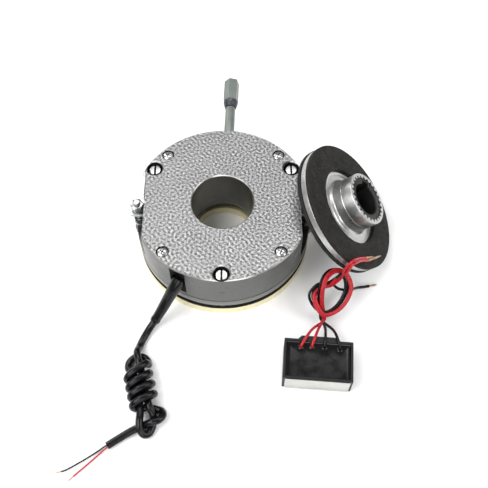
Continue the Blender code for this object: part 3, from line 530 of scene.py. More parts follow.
lights = dict(
    key=dict(at=(-0.9, -0.35, 1.25), size=(1.1, 1.1), power=20),
    above=dict(at=(0.0, 0.78, 1.6), size=(1.2, 0.5), power=8.5),
    right=dict(at=(1.3, -0.2, 1.1), size=(0.8, 1.0), power=11),
    front=dict(at=(0.1, -1.4, 0.9), size=(1.2, 0.7), power=9),
    edge=dict(at=(-0.95, 1.0, 0.75), size=(0.22, 0.9), power=4.5),
)
for name, light in lights.items():
    lamp = bpy.data.lights.new(name, "AREA")
    lamp.shape = "RECTANGLE"
    lamp.size, lamp.size_y = light["size"]
    lamp.energy = light["power"]
    holder = bpy.data.objects.new(name, lamp)
    holder.location = light["at"]
    holder.rotation_euler = (Vector((0, 0, 0)) - holder.location).to_track_quat("-Z", "Y").to_euler()
    bpy.context.scene.collection.objects.link(holder)

sky = bpy.data.worlds.new("studio")
sky.use_nodes = True
sky.node_tree.nodes["Background"].inputs["Color"].default_value = (1, 1, 1, 1)
sky.node_tree.nodes["Background"].inputs["Strength"].default_value = 0.32
bpy.context.scene.world = sky
bpy.context.scene.view_settings.view_transform = "Standard"
print("studio ready")


coilCable = dict(radius=3.05, spacing=1.1, turns=3.78, pitch=8.3, halfWidth=9.4, halfHeight=6.6,
                 coreHeight=9.7, knotStart=(-68.5, -131.5), knotAxis=(0.259, -0.966),
                 slant=(0.30, 0.06), squaring=0.94, wrapPoints=62)


def knotPoint(t, u, z):
    # t along the knot and u across it, from the middle of its first wrap
    axis = np.array(coilCable["knotAxis"])
    across = np.array([-axis[1], axis[0]])
    flat = np.array(coilCable["knotStart"]) + np.multiply.outer(t, axis) + np.multiply.outer(u, across)
    return np.concatenate([flat, np.asarray(z, float)[..., None]], -1)


def knotWraps():
    # wraps round the two core strands: an oval section that moves down the knot by one pitch a turn,
    # t = pitch (a - pi/2) / 2 pi - slant u, u = half width cos a, z = middle + half height sin a,
    # squared off a little, and less slanted towards the last wrap
    c = coilCable
    a = np.linspace(0.12 * np.pi, 2 * np.pi * c["turns"], c["wrapPoints"])
    squared = lambda v: np.sign(v) * np.abs(v) ** c["squaring"]
    u = c["halfWidth"] * squared(np.cos(a))
    t = c["pitch"] * (a - np.pi / 2) / (2 * np.pi) - np.interp(a, [0, a[-1]], c["slant"]) * u
    return knotPoint(t, u, c["coreHeight"] + c["halfHeight"] * squared(np.sin(a)))


def coilCableRoute():
    # out of the boot, over the eye, down the core, round the bight, up the core, round the eye,
    # down over the core in wraps, through the bight and away
    run = [(-55.3, -82.7, 9.3), (-58.1, -86.5, 6.7), (-62.2, -92.2, 4.3), (-66.8, -100.9, 3.2),
           (-69.3, -108.4, 4.4), (-70.1, -114.4, 8.8)]
    core = [(-9.5, 2.6, 10.0), (-4.0, 2.9, 9.0), (6.0, 3.0, 8.9), (16.0, 3.0, 8.9), (25.0, 3.1, 9.0),
            (32.0, 3.6, 9.2), (37.0, 4.6, 6.4), (41.5, 3.9, 3.6), (45.5, 2.2, 3.1), (50.0, -1.2, 3.2),
            (50.6, -5.0, 4.6), (46.8, -7.4, 7.6), (41.0, -6.6, 9.4), (34.0, -4.7, 9.3),
            (26.0, -4.0, 8.9), (16.0, -3.0, 8.9), (8.0, -3.0, 8.9), (2.2, -3.6, 8.6),
            (-2.4, -5.6, 6.6), (-7.2, -7.0, 4.2), (-12.2, -5.0, 3.2), (-15.2, 1.0, 3.1),
            (-13.2, 6.8, 3.4), (-8.6, 9.6, 5.0), (-4.6, 9.9, 7.2)]
    away = [(-54.1, -160.5, 3.1), (-48.2, -162.3, 3.6), (-46.3, -166.5, 6.3), (-49.3, -171.0, 8.7),
            (-54.5, -173.0, 9.1), (-59.8, -174.0, 6.1), (-65.2, -175.6, 3.4), (-71.5, -178.7, 3.1),
            (-80.6, -184.4, 3.1), (-89.1, -190.0, 3.1)]
    core = np.array(core)
    return np.vstack([run, knotPoint(core[:, 0], core[:, 1], core[:, 2]), knotWraps(), away])


def lengthOf(line):
    # the sum of the steps between its points, in metres
    return float(np.linalg.norm(np.diff(line, axis=0), axis=1).sum()) * mm


def strandTip(name, line, radius, strands=6):
    # a bare wire end: strands laid round a middle one, each turning slowly about the line
    line = smoothLine(line, 0.35)
    side, up = carriedAxes(line)
    along = np.linspace(0, 1, len(line))[:, None]
    lay, points, faces = radius * 0.36, [], []
    faceSet = cappedRings(len(line), 6)
    a = np.linspace(0, 2 * np.pi, 6, endpoint=False)[None, :, None]
    for number in range(strands + 1):
        phase = 2 * np.pi * number / strands + 2.4 * along
        away = 0.0 if number == strands else radius * 0.66 * (1 + 0.25 * along * (number % 2))
        centre = line + away * (np.cos(phase) * side + np.sin(phase) * up)
        stop = int(len(line) * (1 - 0.10 * (number % 3)))
        centre = np.concatenate([centre[:stop], np.repeat(centre[stop - 1:stop], len(line) - stop, 0)])
        rings = centre[:, None] + lay * (np.cos(a) * side[:, None] + np.sin(a) * up[:, None])
        base = len(line) * 6 * number
        points.append(rings.reshape(-1, 3))
        faces += [[base + corner for corner in face] for face in faceSet]
    return meshObject(name, magnetFrame(np.vstack(points)), faces, 50)


cableLine = smoothLine(coilCableRoute(), coilCable["spacing"])
cable = tube("coilCable", cableLine, coilCable["radius"], 18, endRound=0.25)
finish(cable, "magnet_unit", "sheath", "cable_run", "cable_hank", "cable_tail")

boot = dict(route=[(-35.2, -62.1, 39.2), (-37.4, -65.0, 36.6), (-39.8, -67.8, 33.4),
                   (-45.8, -73.5, 23.5), (-51.9, -80.2, 14.6), (-57.7, -86.0, 7.0)],
            wide=5.8, narrow=3.9)
bootLine = smoothLine(boot["route"], 0.8)
bootShare = np.linspace(0, 1, len(bootLine))
# the boot tapers evenly, swells a little at its lip and closes round the cable at its end
bootRadius = (boot["wide"] + (boot["narrow"] - boot["wide"]) * bootShare ** 0.9
              + 0.35 * np.exp(-((bootShare - 0.955) / 0.03) ** 2))
bootPiece = tube("cableBoot", bootLine, bootRadius, 40, endRound=0.35)
finish(bootPiece, "magnet_unit", "rubber", "strain_relief")

cores = dict(
    black=dict(route=[(-87.6, -188.8, 3.2), (-90.5, -190.0, 2.6), (-98.1, -195.0, 1.3),
                      (-109.2, -202.1, 1.2), (-120.2, -208.3, 1.2), (-123.0, -209.1, 1.2)],
               tip=[(-122.8, -209.0, 1.2), (-127.0, -210.0, 1.2)]),
    red=dict(route=[(-87.2, -189.4, 2.9), (-90.1, -191.8, 2.4), (-96.1, -197.0, 1.3),
                    (-105.7, -205.9, 1.2), (-113.5, -212.9, 1.2)],
             tip=[(-113.3, -212.7, 1.2), (-116.9, -216.2, 1.2)]),
)
coreRadius = 0.62
for name, core in cores.items():
    line = smoothLine(core["route"], 0.8)
    wire = tube(name + "Core", line, coreRadius, 10)
    finish(wire, "magnet_unit", name + "Wire", "cable_core_" + name)
    tip = strandTip(name + "CoreTip", core["tip"], 0.45)
    finish(tip, "magnet_unit", "tin")
print("coil cable ready", round(lengthOf(cableLine), 3), "m")


# the rectifier's leads, tied together in one overhand knot
leads = dict(radius=1.2, spacing=0.8, ring=1.75, slope=0.95)
# the knot's own line: place, heading of the red pair round it in degrees, spread of the black pair
knotRoute = [
    ((84.9, -83.5, 6.3), 135, 1.0), ((84.3, -78.1, 8.3), 135, 1.0), ((82.9, -72.6, 14.7), 135, 1.0),
    ((83.2, -64.0, 27.3), 130, 1.1), ((86.6, -57.0, 32.1), 110, 1.4), ((90.9, -52.8, 33.1), 90, 1.5),
    ((97.0, -50.8, 32.2), 75, 1.2), ((103.0, -53.3, 30.5), 60, 1.6), ((107.1, -62.6, 24.9), 45, 2.2),
    ((102.3, -73.2, 17.6), 45, 2.0), ((93.9, -79.7, 13.9), 45, 1.3), ((85.5, -81.8, 13.1), 60, 1.0),
    ((79.0, -76.1, 15.8), 110, 1.5), ((76.7, -67.9, 19.5), 125, 2.2), ((81.8, -61.1, 21.8), 135, 1.6),
    ((90.5, -59.5, 24.4), 120, 1.0), ((94.6, -58.7, 29.4), 100, 1.0), ((98.4, -57.2, 35.1), 90, 1.0),
]
leadWires = [
    dict(name="redLeadUpper", start=(64.4, -114.4), end=(80.9, -87.2, 8.1), side=40, stop=18,
         tail=[(99.6, -58.0, 44.4), (105.0, -55.9, 57.1), (110.3, -50.7, 52.3), (114.5, -47.2, 47.1),
               (119.2, -44.2, 42.2)], tip=(127.4, -38.2, 32.9), nodes=("1", "2")),
    dict(name="redLeadLower", start=(73.3, -114.2), end=(83.5, -86.8, 8.1), side=-40, stop=18,
         tail=[(101.8, -58.9, 42.9), (105.7, -57.7, 55.5), (110.1, -53.6, 52.4), (115.3, -48.9, 46.3),
               (122.0, -45.0, 39.2)], tip=(135.0, -32.9, 25.0), nodes=("2", "1")),
    dict(name="blackLeadSide", start=(83.4, -115.0), end=(86.3, -86.8, 8.1), side=150, stop=16,
         tail=[(97.4, -62.5, 21.8), (103.7, -62.3, 18.8), (109.3, -58.9, 12.7), (117.0, -53.2, 4.6),
               (123.0, -51.2, 1.9), (127.6, -50.2, 1.4)], tip=(134.3, -48.5, 1.0), nodes=("3", "4")),
    dict(name="blackLeadUpper", start=(95.8, -116.8), end=(89.1, -87.2, 8.1), side=210, stop=17,
         tail=[(95.6, -58.9, 37.0), (98.4, -58.3, 41.6), (102.4, -57.1, 46.0)], tip=(105.7, -56.5, 49.7),
         nodes=("4", "3")),
]


def knotOffset(side, stop):
    # each wire stands off the knot's line by ring (cos a left + sin a up), where left and up are
    # the two directions across it and a is the red pair's heading plus the wire's own side
    line = np.array([place for place, _, _ in knotRoute])
    heading = np.array([turn for _, turn, _ in knotRoute])
    spread = np.array([wide for _, _, wide in knotRoute])
    facing = np.array([0, -leads["slope"], 1.0])
    facing /= np.linalg.norm(facing)
    ahead = np.gradient(line, axis=0)
    ahead /= np.linalg.norm(ahead, axis=1)[:, None]
    left = np.cross(facing, ahead)
    left /= np.linalg.norm(left, axis=1)[:, None]
    up = np.cross(ahead, left)
    a = np.radians(heading + side)[:, None]
    reach = leads["ring"] * (spread if abs(side) > 90 else np.ones(len(spread)))[:, None]
    return (line + reach * (np.cos(a) * left + np.sin(a) * up))[:stop]


for wireNumber, wire in enumerate(leadWires):
    start, end = np.array([*wire["start"], 18.6]), np.array(wire["end"])
    stem = [start, start + (0, 0.6, 3.6), start + (end - start) * 0.28 + (0, 0, 8.4),
            start + (end - start) * 0.62 + (0, 0, 5.4)]
    line = smoothLine(np.vstack([stem, knotOffset(wire["side"], wire["stop"]), wire["tail"]]),
                      leads["spacing"])
    lead = tube(wire["name"], line, leads["radius"], 12)
    nodes = ["rectifier_lead_" + wire["nodes"][0], "lead_tail_" + wire["nodes"][1]]
    nodes += ["lead_knot"] if wireNumber == 0 else []
    finish(lead, "magnet_unit", wire["name"].partition("Lead")[0] + "Wire", *nodes)
    last, tipEnd = np.array(wire["tail"][-1]), np.array(wire["tip"])
    tip = strandTip(wire["name"] + "Tip", [last, last + (tipEnd - last) * 0.5, tipEnd], 0.85)
    finish(tip, "magnet_unit", "tin")
    print(wire["name"], round(lengthOf(line), 3), "m")


housing = dict(radius=75.0, low=22.7, top=60.7, bore=26.2, chamfer=0.8, coilInner=37.0,
               coilOuter=56.0, grooveTop=47.7, flat=66.0, ledge=29.7, ear=9.0, steps=640,
               ringGap=0.55, relief=0.10, wave=1.9, waves=90)
boltCircle = dict(radius=68.0, screws=(270, 30, 150), crossed=(45, 135, 225, 315), studs=72.6,
                  springs=31.6)
counterbore = dict(radius=6.85, depth=8.8, edge=1.1)
crossPocket = dict(radius=5.2, depth=2.6, edge=0.35)
holes = dict(shank=3.4, sleeve=5.4, sleeveTop=38.0, spring=3.3, springTop=33.7, lip=0.2)
cableSlot = dict(low=(64.5, -9.8, 26.5), high=(80.0, 4.6, 58.5), turn=243, inner=63.0,
                 bearing=29.22, halfWidth=9.17)


def boreTool(name, radius, low, top, at, edge, steps):
    # a drill's volume: straight wall, then a cone that opens by edge at the surface
    profile = [(0, low), (radius, low), (radius, top - edge), (radius + edge, top),
               (radius + edge + 2, top + 2), (0, top + 2)]
    return turned(name, profile, shifted(*at), steps, closed=False)


def flatTool(side):
    # everything outside the flat, less the rounded ear that stays round the upper screw; the walls
    # open by the chamfer over the last of their height
    h = housing
    centre = np.array(onCircle(boltCircle["radius"], 30))
    rings = []
    for height, open_ in ((h["ledge"], 0.0), (h["top"] - 0.3, 0.0), (h["top"], 0.3),
                          (h["top"] + 2, 2.3)):
        x, ear = h["flat"] - open_, h["ear"] - open_
        reach = np.sqrt(ear ** 2 - (x - centre[0]) ** 2)
        edge = np.arctan2(-reach, x - centre[0])
        a = np.linspace(edge, -edge, 24)
        arc = np.stack([centre[0] + ear * np.cos(a), centre[1] + ear * np.sin(a)], 1)
        ring = np.vstack([[(95, -60), (x, -60)], arc, [(x, 60), (95, 60)]])
        rings.append(np.concatenate([ring * (side, 1), np.full((len(ring), 1), height)], 1))
    faces = cappedRings(len(rings), len(rings[0]))
    return meshObject(f"flatTool{side}", magnetFrame(np.vstack(rings)), faces)


def slotTool(name, centre, radius, low, high, side):
    # a half round towards the axis, open straight out past the rim
    a = np.linspace(np.pi / 2, 3 * np.pi / 2, 25)
    ring = np.stack([centre + radius * np.cos(a), radius * np.sin(a)], 1)
    ring = np.vstack([ring, [(90, -radius), (90, radius)]]) * (side, 1)
    return raised(name, ring, low, high, magnetFrame)


def turnedAt(at, degrees):
    # a frame at a place on the magnet, turned about its upright axis
    a = radians(degrees)
    return turnedFrame((*at, 0), (np.cos(a), np.sin(a), 0), (-np.sin(a), np.cos(a), 0), (0, 0, 1))


def boxTool(name, low, high, put):
    # a block between two opposite corners
    (x0, y0, z0), (x1, y1, z1) = low, high
    return raised(name, [(x0, y0), (x1, y0), (x1, y1), (x0, y1)], z0, z1, put)


def reliefAt(x, y):
    # sum of waves in random directions, their lengths spread round a middle one, which makes the
    # branching ridges of a hammered finish: sum of cos(k . p + phase) / sqrt(count / 2)
    rng = np.random.default_rng(7)
    count = housing["waves"]
    a, phase = rng.uniform(0, 2 * np.pi, (2, count))
    k = 2 * np.pi / (housing["wave"] * rng.uniform(0.62, 2.3, count))
    total = np.zeros(len(x))
    for kx, ky, p in zip(k * np.cos(a), k * np.sin(a), phase):
        total += np.cos(kx * x + ky * y + p)
    return np.clip(total / np.sqrt(count / 2) * 0.5, -1, 1)


def housingTools():
    # everything that is cut from the turned ring: flats, stud slots, holes, pockets, cable slot
    h, low, top = housing, housing["low"], housing["top"]
    tools = [flatTool(1), flatTool(-1)]
    tools += [slotTool(f"studSlot{side}", boltCircle["studs"], 3.2, low - 1, h["ledge"] + 1, side)
              for side in (-1, 1)]
    floorHeight = top - counterbore["depth"]
    for number, angle in enumerate(boltCircle["screws"]):
        at = onCircle(boltCircle["radius"], angle)
        tools += [boreTool(f"counterbore{number}", counterbore["radius"], floorHeight, top, at,
                           counterbore["edge"], 72),
                  boreTool(f"hole{number}", holes["shank"], low - 1, floorHeight, at, holes["lip"], 24),
                  boreTool(f"sleeveHole{number}", holes["sleeve"], low - 1, holes["sleeveTop"], at,
                           holes["lip"], 24)]
    for number, angle in enumerate(boltCircle["crossed"]):
        tools.append(boreTool(f"pocket{number}", crossPocket["radius"], top - crossPocket["depth"], top,
                              onCircle(boltCircle["radius"], angle), crossPocket["edge"], 48))
    for number in range(6):
        tools.append(boreTool(f"springPocket{number}", holes["spring"], low - 3, holes["springTop"],
                              onCircle(boltCircle["springs"], 60 * number), holes["lip"], 20))
    tools.append(boxTool("cableSlot", cableSlot["low"], cableSlot["high"],
                         turnedAt((0, 0), cableSlot["turn"])))
    return tools


def hammerTop(mesh, onTop):
    # the top's inner points rise by relief (wave - 0.35), and its outline stays where it is
    co = readAll(mesh.vertices, "co", 3)
    corners = readAll(mesh.loops, "vertex_index", kind=int)
    outline = np.zeros(len(co), bool)
    outline[corners[np.repeat(~onTop, readAll(mesh.polygons, "loop_total", kind=int))]] = True
    place = co / mm + kitShift
    wave = reliefAt(place[:, 0], place[:, 1])
    lift = ~outline & (place[:, 2] > housing["top"] - 0.01)
    co[lift, 2] += (wave[lift] - 0.35) * housing["relief"] * mm
    mesh.vertices.foreach_set("co", co.ravel())
    store = mesh.attributes.new("relief", "FLOAT", "POINT")
    store.data.foreach_set("value", ((wave + 1) / 2).astype(np.float32))


# rim is a painted highlight on the chamfers; pit and slot are painted shade in the holes and the cable
# slot
housingFinishes = ("casting", "side", "bore", "rim", "pitShade", "slotShade")


def housingFaces(place, facing, onTop):
    # which of the housing's finishes each face has, by where it is and how far it looks up: a painted
    # highlight on the chamfers, painted shade in the counterbores, the cross pockets and the cable slot
    h = housing
    height, distance = place[:, 2], np.hypot(place[:, 0], place[:, 1])
    inBore = distance < h["bore"] + 0.5
    # sloping faces near the top are the chamfers; they get the rim finish, a painted highlight
    bevelled = (facing > 0.3) & (facing < 0.95) & (height > h["top"] - 1.2)
    # faces in the counterbores and cross pockets get the pit finish: painted shade in the holes
    inPitShade = np.zeros(len(place), bool)
    for radius, angles in ((counterbore["radius"], boltCircle["screws"]),
                           (crossPocket["radius"], boltCircle["crossed"])):
        for angle in angles:
            away = place[:, :2] - onCircle(boltCircle["radius"], angle)
            inPitShade |= (np.hypot(*away.T) < radius + 0.1) & (distance < h["radius"] - 0.3)
    bearing = np.degrees(np.arctan2(-place[:, 0], -place[:, 1]))
    # faces in the cable slot get the slot finish, painted shade in the pocket
    inSlot = (distance > cableSlot["inner"]) & (distance < h["radius"] - 0.05)
    inSlot &= (height > cableSlot["low"][2] - 0.1) & (height < cableSlot["high"][2] + 0.1)
    inSlot &= np.abs(bearing - cableSlot["bearing"]) < cableSlot["halfWidth"]
    chosen = np.select([inSlot, onTop, inPitShade, bevelled, inBore], [5, 0, 4, 3, 2], 1)
    return chosen.astype(np.int32)


def makeHousing():
    # the ring's section turned round its axis, cut, and hammered on top
    h, edge = housing, housing["chamfer"]
    rings = np.linspace(h["bore"] + edge, h["radius"] - edge,
                        int((h["radius"] - h["bore"]) / h["ringGap"]))
    profile = [(h["radius"], h["top"] - edge), (h["radius"], h["low"] + 0.5),
               (h["radius"] - 0.5, h["low"]), (h["coilOuter"], h["low"]),
               (h["coilOuter"], h["grooveTop"]), (h["coilInner"], h["grooveTop"]),
               (h["coilInner"], h["low"]), (h["bore"], h["low"]), (h["bore"], h["top"] - edge),
               *[(r, h["top"]) for r in rings]]
    piece = turned("magnetHousing", profile, magnetFrame, h["steps"])
    mesh = cutAway(piece, housingTools()).data
    place = faceMiddles(mesh)
    facing = readAll(mesh.polygons, "normal", 3)[:, 2]
    onTop = (facing > 0.99) & (place[:, 2] > h["top"] - 0.1)
    hammerTop(mesh, onTop)
    finish(piece, "magnet_unit", "casting", "magnet_housing")
    for kind in housingFinishes[1:]:
        mesh.materials.append(finishes[kind])
    mesh.polygons.foreach_set("material_index", housingFaces(place, facing, onTop))
    mesh.update()


makeHousing()
print("magnet housing ready")


plates = dict(armature=dict(low=14.7, top=21.9, radius=75.0, inner=26.8, lug=5.5),
              flange=dict(low=0.0, top=8.4, radius=75.2, inner=26.2, shadeFrom=30.0))


def ringPlate(name, outer, inner, low, top, edge):
    # a flat ring: a rounded rectangle turned round the axis
    profile = eased([(outer, top), (outer, low), (inner, low), (inner, top), (inner + 5, top),
                     (outer - 5, top)], [edge, edge, edge, edge, 0, 0], 3)
    return turned(name, profile, magnetFrame, 240)


def makePlates():
    # the armature plate with a lug for each stud, and the flange plate under it
    a, f, studs = plates["armature"], plates["flange"], boltCircle["studs"]
    sleeves = [(k, onCircle(boltCircle["radius"], k)) for k in boltCircle["screws"]]
    armature = ringPlate("armaturePlate", a["radius"], a["inner"], a["low"], a["top"], 0.35)
    lug = eased([(0, a["low"] + 0.1), (a["lug"], a["low"] + 0.1), (a["lug"], a["top"] - 0.1),
                 (0, a["top"] - 0.1)], 0.3, 2, False)
    cutAway(armature, [turned(f"lug{s}", lug, shifted(s * studs, 0), 48, closed=False)
                       for s in (-1, 1)], join=True)
    tools = [boreTool(f"studHole{s}", 2.8, a["low"] - 1, a["top"], (s * studs, 0), holes["lip"], 24)
             for s in (-1, 1)]
    tools += [boreTool(f"sleeveGap{k}", 5.7, a["low"] - 1, a["top"], at, holes["lip"], 32)
              for k, at in sleeves]
    cutAway(armature, tools)
    finish(armature, "armature", "plate", "armature_plate")
    partly(armature, "bore", lambda p: np.hypot(p[:, 0], p[:, 1]) < a["inner"] + 0.5)
    flange = ringPlate("flangePlate", f["radius"], f["inner"], f["low"], f["top"], 0.6)
    cutAway(flange, [boreTool(f"flangeHole{k}", holes["shank"], -1, f["top"], at, holes["lip"], 24)
                     for k, at in sleeves])
    finish(flange, "magnet_unit", "yellowZinc", "flange_plate")
    # the flange's top under the armature gets the pit finish: painted shade in the gap between the plates
    partly(flange, "pitShade", lambda p: (p[:, 2] > f["top"] - 0.05)
           & (np.hypot(p[:, 0], p[:, 1]) > f["shadeFrom"]))


makePlates()


screws = dict(head=5.0, headHeight=6.0, shank=3.0, slotWide=1.8, slotDeep=2.2)
crossed = dict(head=4.4, top=60.4, under=58.4, shank=1.9, slotWide=0.95, slotLong=2.5, slotDeep=1.5)


def makeMountingScrews():
    # cheese heads turned from a rounded section, with one slot
    low = housing["top"] - counterbore["depth"] + 0.3
    top, wide = low + screws["headHeight"], screws["slotWide"] / 2
    profile = eased([(0, top), (screws["head"], top), (screws["head"], low), (screws["shank"], low),
                     (screws["shank"], 1.0), (0, 1.0)], [0, 0.9, 0.3, 0.1, 0.4, 0], 4, False)
    for number, angle in enumerate(boltCircle["screws"], 1):
        at = onCircle(boltCircle["radius"], angle)
        piece = turned(f"mountingScrew{number}", profile, shifted(*at), 56, closed=False)
        cutAway(piece, [boxTool(f"slit{number}", (-wide, -7, top - screws["slotDeep"]),
                                (wide, 7, top + 1), shifted(*at))])
        finish(piece, "magnet_unit", "brightZinc", f"mounting_screw_{number}")
        # the slot's walls and floor get the pit finish: painted shade in the slot
        partly(piece, "pitShade", lambda p: (np.abs(p[:, 0] - at[0]) < wide + 0.05) & (p[:, 2] < top - 0.1)
               & (p[:, 2] > low + 1))


def makeCrossScrews():
    # low domed heads turned from a rounded section, with a tapered cross
    c = crossed
    w, l, tip = c["slotWide"] / 2, c["slotLong"], c["slotWide"] * 0.4
    profile = eased([(0, c["top"] + 0.25), (2.6, c["top"] + 0.1), (c["head"], c["top"] - 0.7),
                     (c["head"], c["under"]), (c["shank"], c["under"]), (c["shank"], c["top"] - 13),
                     (0, c["top"] - 13)], [0, 0.8, 0.3, 0.2, 0.1, 0.3, 0], 4, False)
    plus = [(w, w), (l, tip), (l, -tip), (w, -w), (tip, -l), (-tip, -l), (-w, -w), (-l, -tip),
            (-l, tip), (-w, w), (-tip, l), (tip, l)]
    for number, angle in enumerate(boltCircle["crossed"], 1):
        at = onCircle(boltCircle["radius"], angle)
        piece = turned(f"crossScrew{number}", profile, shifted(*at), 48, closed=False)
        cutAway(piece, [raised(f"cross{number}", plus, c["top"] - c["slotDeep"], c["top"] + 1,
                               turnedAt(at, angle + 20))])
        finish(piece, "magnet_unit", "brightZinc", f"cross_screw_{number}")
        # the cross's walls and floor get the pit finish: painted shade in the recess
        partly(piece, "pitShade", lambda p: (np.hypot(p[:, 0] - at[0], p[:, 1] - at[1]) < l + 0.1)
               & (p[:, 2] < c["top"] - 0.15))


makeMountingScrews()
makeCrossScrews()
print("plates and screws ready")


release = dict(stud=2.5, studLow=15.2, studTop=59.7, nutLow=51.1, nutHigh=56.3, nutRadius=5.7,
               pitch=0.8, thread=0.22, wire=0.6, springTop=4.9, springBottom=3.6, turns=5.0)
pressure = dict(low=22.2, high=35.4, radius=2.4, wire=0.45, turns=5, travel=0.52)


def threaded(name, radius, low, high, frameOf, steps=40):
    # height rises with the angle, and the radius follows a rounded V: r - depth (1 - |2 s - 1|)
    p = release["pitch"]
    rows = int((high - low) / p * 8)
    a = np.linspace(0, 2 * np.pi, steps, endpoint=False)[None, :]
    z = np.linspace(low, high, rows)[:, None]
    phase = (z / p - a / (2 * np.pi)) % 1.0
    fade = np.clip(np.minimum(z - low, high - z) / 0.6, 0, 1)
    r = radius - release["thread"] * (1 - np.abs(2 * phase - 1)) * fade - 0.3 * (1 - fade)
    points = np.stack([r * np.cos(a), r * np.sin(a), z + 0 * a], -1)
    return meshObject(name, frameOf(points.reshape(-1, 3)), cappedRings(rows, steps), 50)


def hexagon(radius, degrees):
    # six corners, one every 60 degrees
    a = np.radians(np.arange(6) * 60 + degrees)
    return np.stack([radius * np.cos(a), radius * np.sin(a)], 1)


def hexNut(name, radius, hole, low, high, frameOf, degrees):
    # a six-sided block with a cone taken off its corners top and bottom, and its hole
    nut = raised(name, hexagon(radius, degrees), low, high, frameOf, 0.12, 2)
    inner, outer = radius * 0.90 - 0.9, radius + 0.6
    cones = [(0, low - 1), (inner, low - 1), (outer, low + 0.75), (outer, high - 0.75),
             (inner, high + 1), (0, high + 1)]
    corner = turned(name + "Corner", cones, frameOf, 48, closed=False)
    meet = nut.modifiers.new("corners", "BOOLEAN")
    meet.operation, meet.solver, meet.object = "INTERSECT", "EXACT", corner
    settle(nut)
    bpy.data.objects.remove(corner, do_unlink=True)
    drill = [(0, low - 1), (hole + 0.6, low - 1), (hole + 0.5, low), (hole, low + 0.5),
             (hole, high - 0.5), (hole + 0.5, high), (hole + 0.6, high + 1), (0, high + 1)]
    return cutAway(nut, [turned(name + "Hole", drill, frameOf, 40, closed=False)])


def coilLine(low, high, bottom, top, turns, wire):
    # x = r cos a, y = r sin a; the height stays flat for half a turn at each end and the radius
    # goes evenly from bottom to top
    share = np.linspace(0, 1, int(turns * 30))
    a = 2 * np.pi * turns * share
    rise = np.clip((share * turns - 0.6) / (turns - 1.2), 0, 1)
    rise = rise * rise * (3 - 2 * rise) * 0.4 + rise * 0.6
    r = bottom + (top - bottom) * share
    return np.stack([r * np.cos(a), r * np.sin(a), low + wire + (high - low - 2 * wire) * rise], 1)


def makeRelease():
    # on each side a stud with its nut and washer over a conical spring and the spring's seat
    r = release
    washerProfile = eased([(4.2, 50.8), (4.2, 49.9), (3.4, 49.2), (2.8, 49.2), (2.8, 50.8)], 0.12, 2)
    seatProfile = eased([(5.2, 31.2), (5.2, 30.0), (2.8, 30.0), (2.8, 31.2)], 0.2, 2)
    for side, word in ((-1, "left"), (1, "right")):
        frameOf = shifted(side * boltCircle["studs"], 0)
        stud = threaded(f"releaseStud_{word}", r["stud"], r["studLow"], r["studTop"], frameOf)
        finish(stud, "armature", "brightZinc", f"release_stud_{word}")
        nut = hexNut(f"releaseNut_{word}", r["nutRadius"], r["stud"] + 0.15, r["nutLow"], r["nutHigh"],
                     frameOf, 12)
        finish(nut, "armature", "brightZinc", f"release_nut_{word}")
        washer = turned(f"releaseWasher_{word}", washerProfile, frameOf, 48)
        finish(washer, "armature", "brightZinc", f"release_washer_{word}")
        seat = turned(f"springSeat_{word}", seatProfile, frameOf, 48)
        finish(seat, "magnet_unit", "brightZinc", f"spring_seat_{word}")
        line = coilLine(31.5, 45.4, r["springBottom"], r["springTop"], r["turns"], r["wire"])
        spring = tube(f"releaseSpring_{word}", line, r["wire"], 8, frameOf, 0.4)
        finish(spring, "magnet_unit", "springBlack", f"release_spring_{word}")


def makePressureSprings():
    # six straight springs in their pockets
    p = pressure
    line = coilLine(p["low"], p["high"], p["radius"], p["radius"], p["turns"], p["wire"])
    for number in range(6):
        at = onCircle(boltCircle["springs"], 60 * number)
        spring = tube(f"pressureSpring{number + 1}", line, p["wire"], 8, shifted(*at), 0.3)
        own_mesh(spring)
        finish(spring, "magnet_unit", "springSteel", f"pressure_spring_{number + 1}")


makeRelease()
makePressureSprings()


lever = dict(rod=4.6, rodStart=6.6, neck=3.4, gripStart=44.3, gripEnd=68.8, gripRadius=7.2)


def makeLever():
    # the bent yoke, then three pieces along the lever's own axis: turned rod, turned collar and
    # six-sided grip
    v = lever
    yoke = softEdges(copied("releaseYoke", "release_yoke"), 0.3)
    finish(yoke, "release_lever", "brightZinc", "release_yoke")
    profile = eased([(0, 44.5), (v["neck"], 44.5), (v["neck"], 36.4), (v["rod"], 36.4),
                     (v["rod"], v["rodStart"]), (3.7, v["rodStart"]), (3.7, 0.6), (0, 0.6)],
                    [0, 0.4, 0.1, 0.5, 0.5, 0.1, 0.3, 0], 3, False)
    rod = turned("leverRod", profile, leverFrame, 64, closed=False)
    finish(rod, "release_lever", "leverPaint", "lever_rod")
    profile = eased([(6.9, 43.9), (6.5, 41.2), (5.4, 37.8), (5.2, 36.8), (3.7, 36.8), (3.7, 43.9)],
                    [0.7, 1.5, 0.8, 0.4, 0.1, 0.1], 4)
    collar = turned("leverCollar", profile, leverFrame, 64)
    finish(collar, "release_lever", "leverCollar", "lever_collar")
    grip = raised("leverGrip", hexagon(v["gripRadius"], 14), v["gripStart"], v["gripEnd"], leverFrame,
                  1.1, 4)
    hole = [(0, 43), (3.7, 43), (3.7, 44.8), (0, 44.8)]
    cutAway(grip, [turned("gripHole", hole, leverFrame, 40, closed=False)])
    softEdges(grip, 0.5, 3, 40)
    finish(grip, "release_lever", "leverPaint", "lever_grip")


makeLever()
print("hand release ready")


rotor = dict(radius=56.6, thickness=12.0, lining=3.5, liningInner=33.8, boss=22.9, bossTop=17.2,
             teeth=26, tip=20.6, root=18.7, clearance=0.25, bore=14.0, hubTop=16.2, hubLow=-21.0)


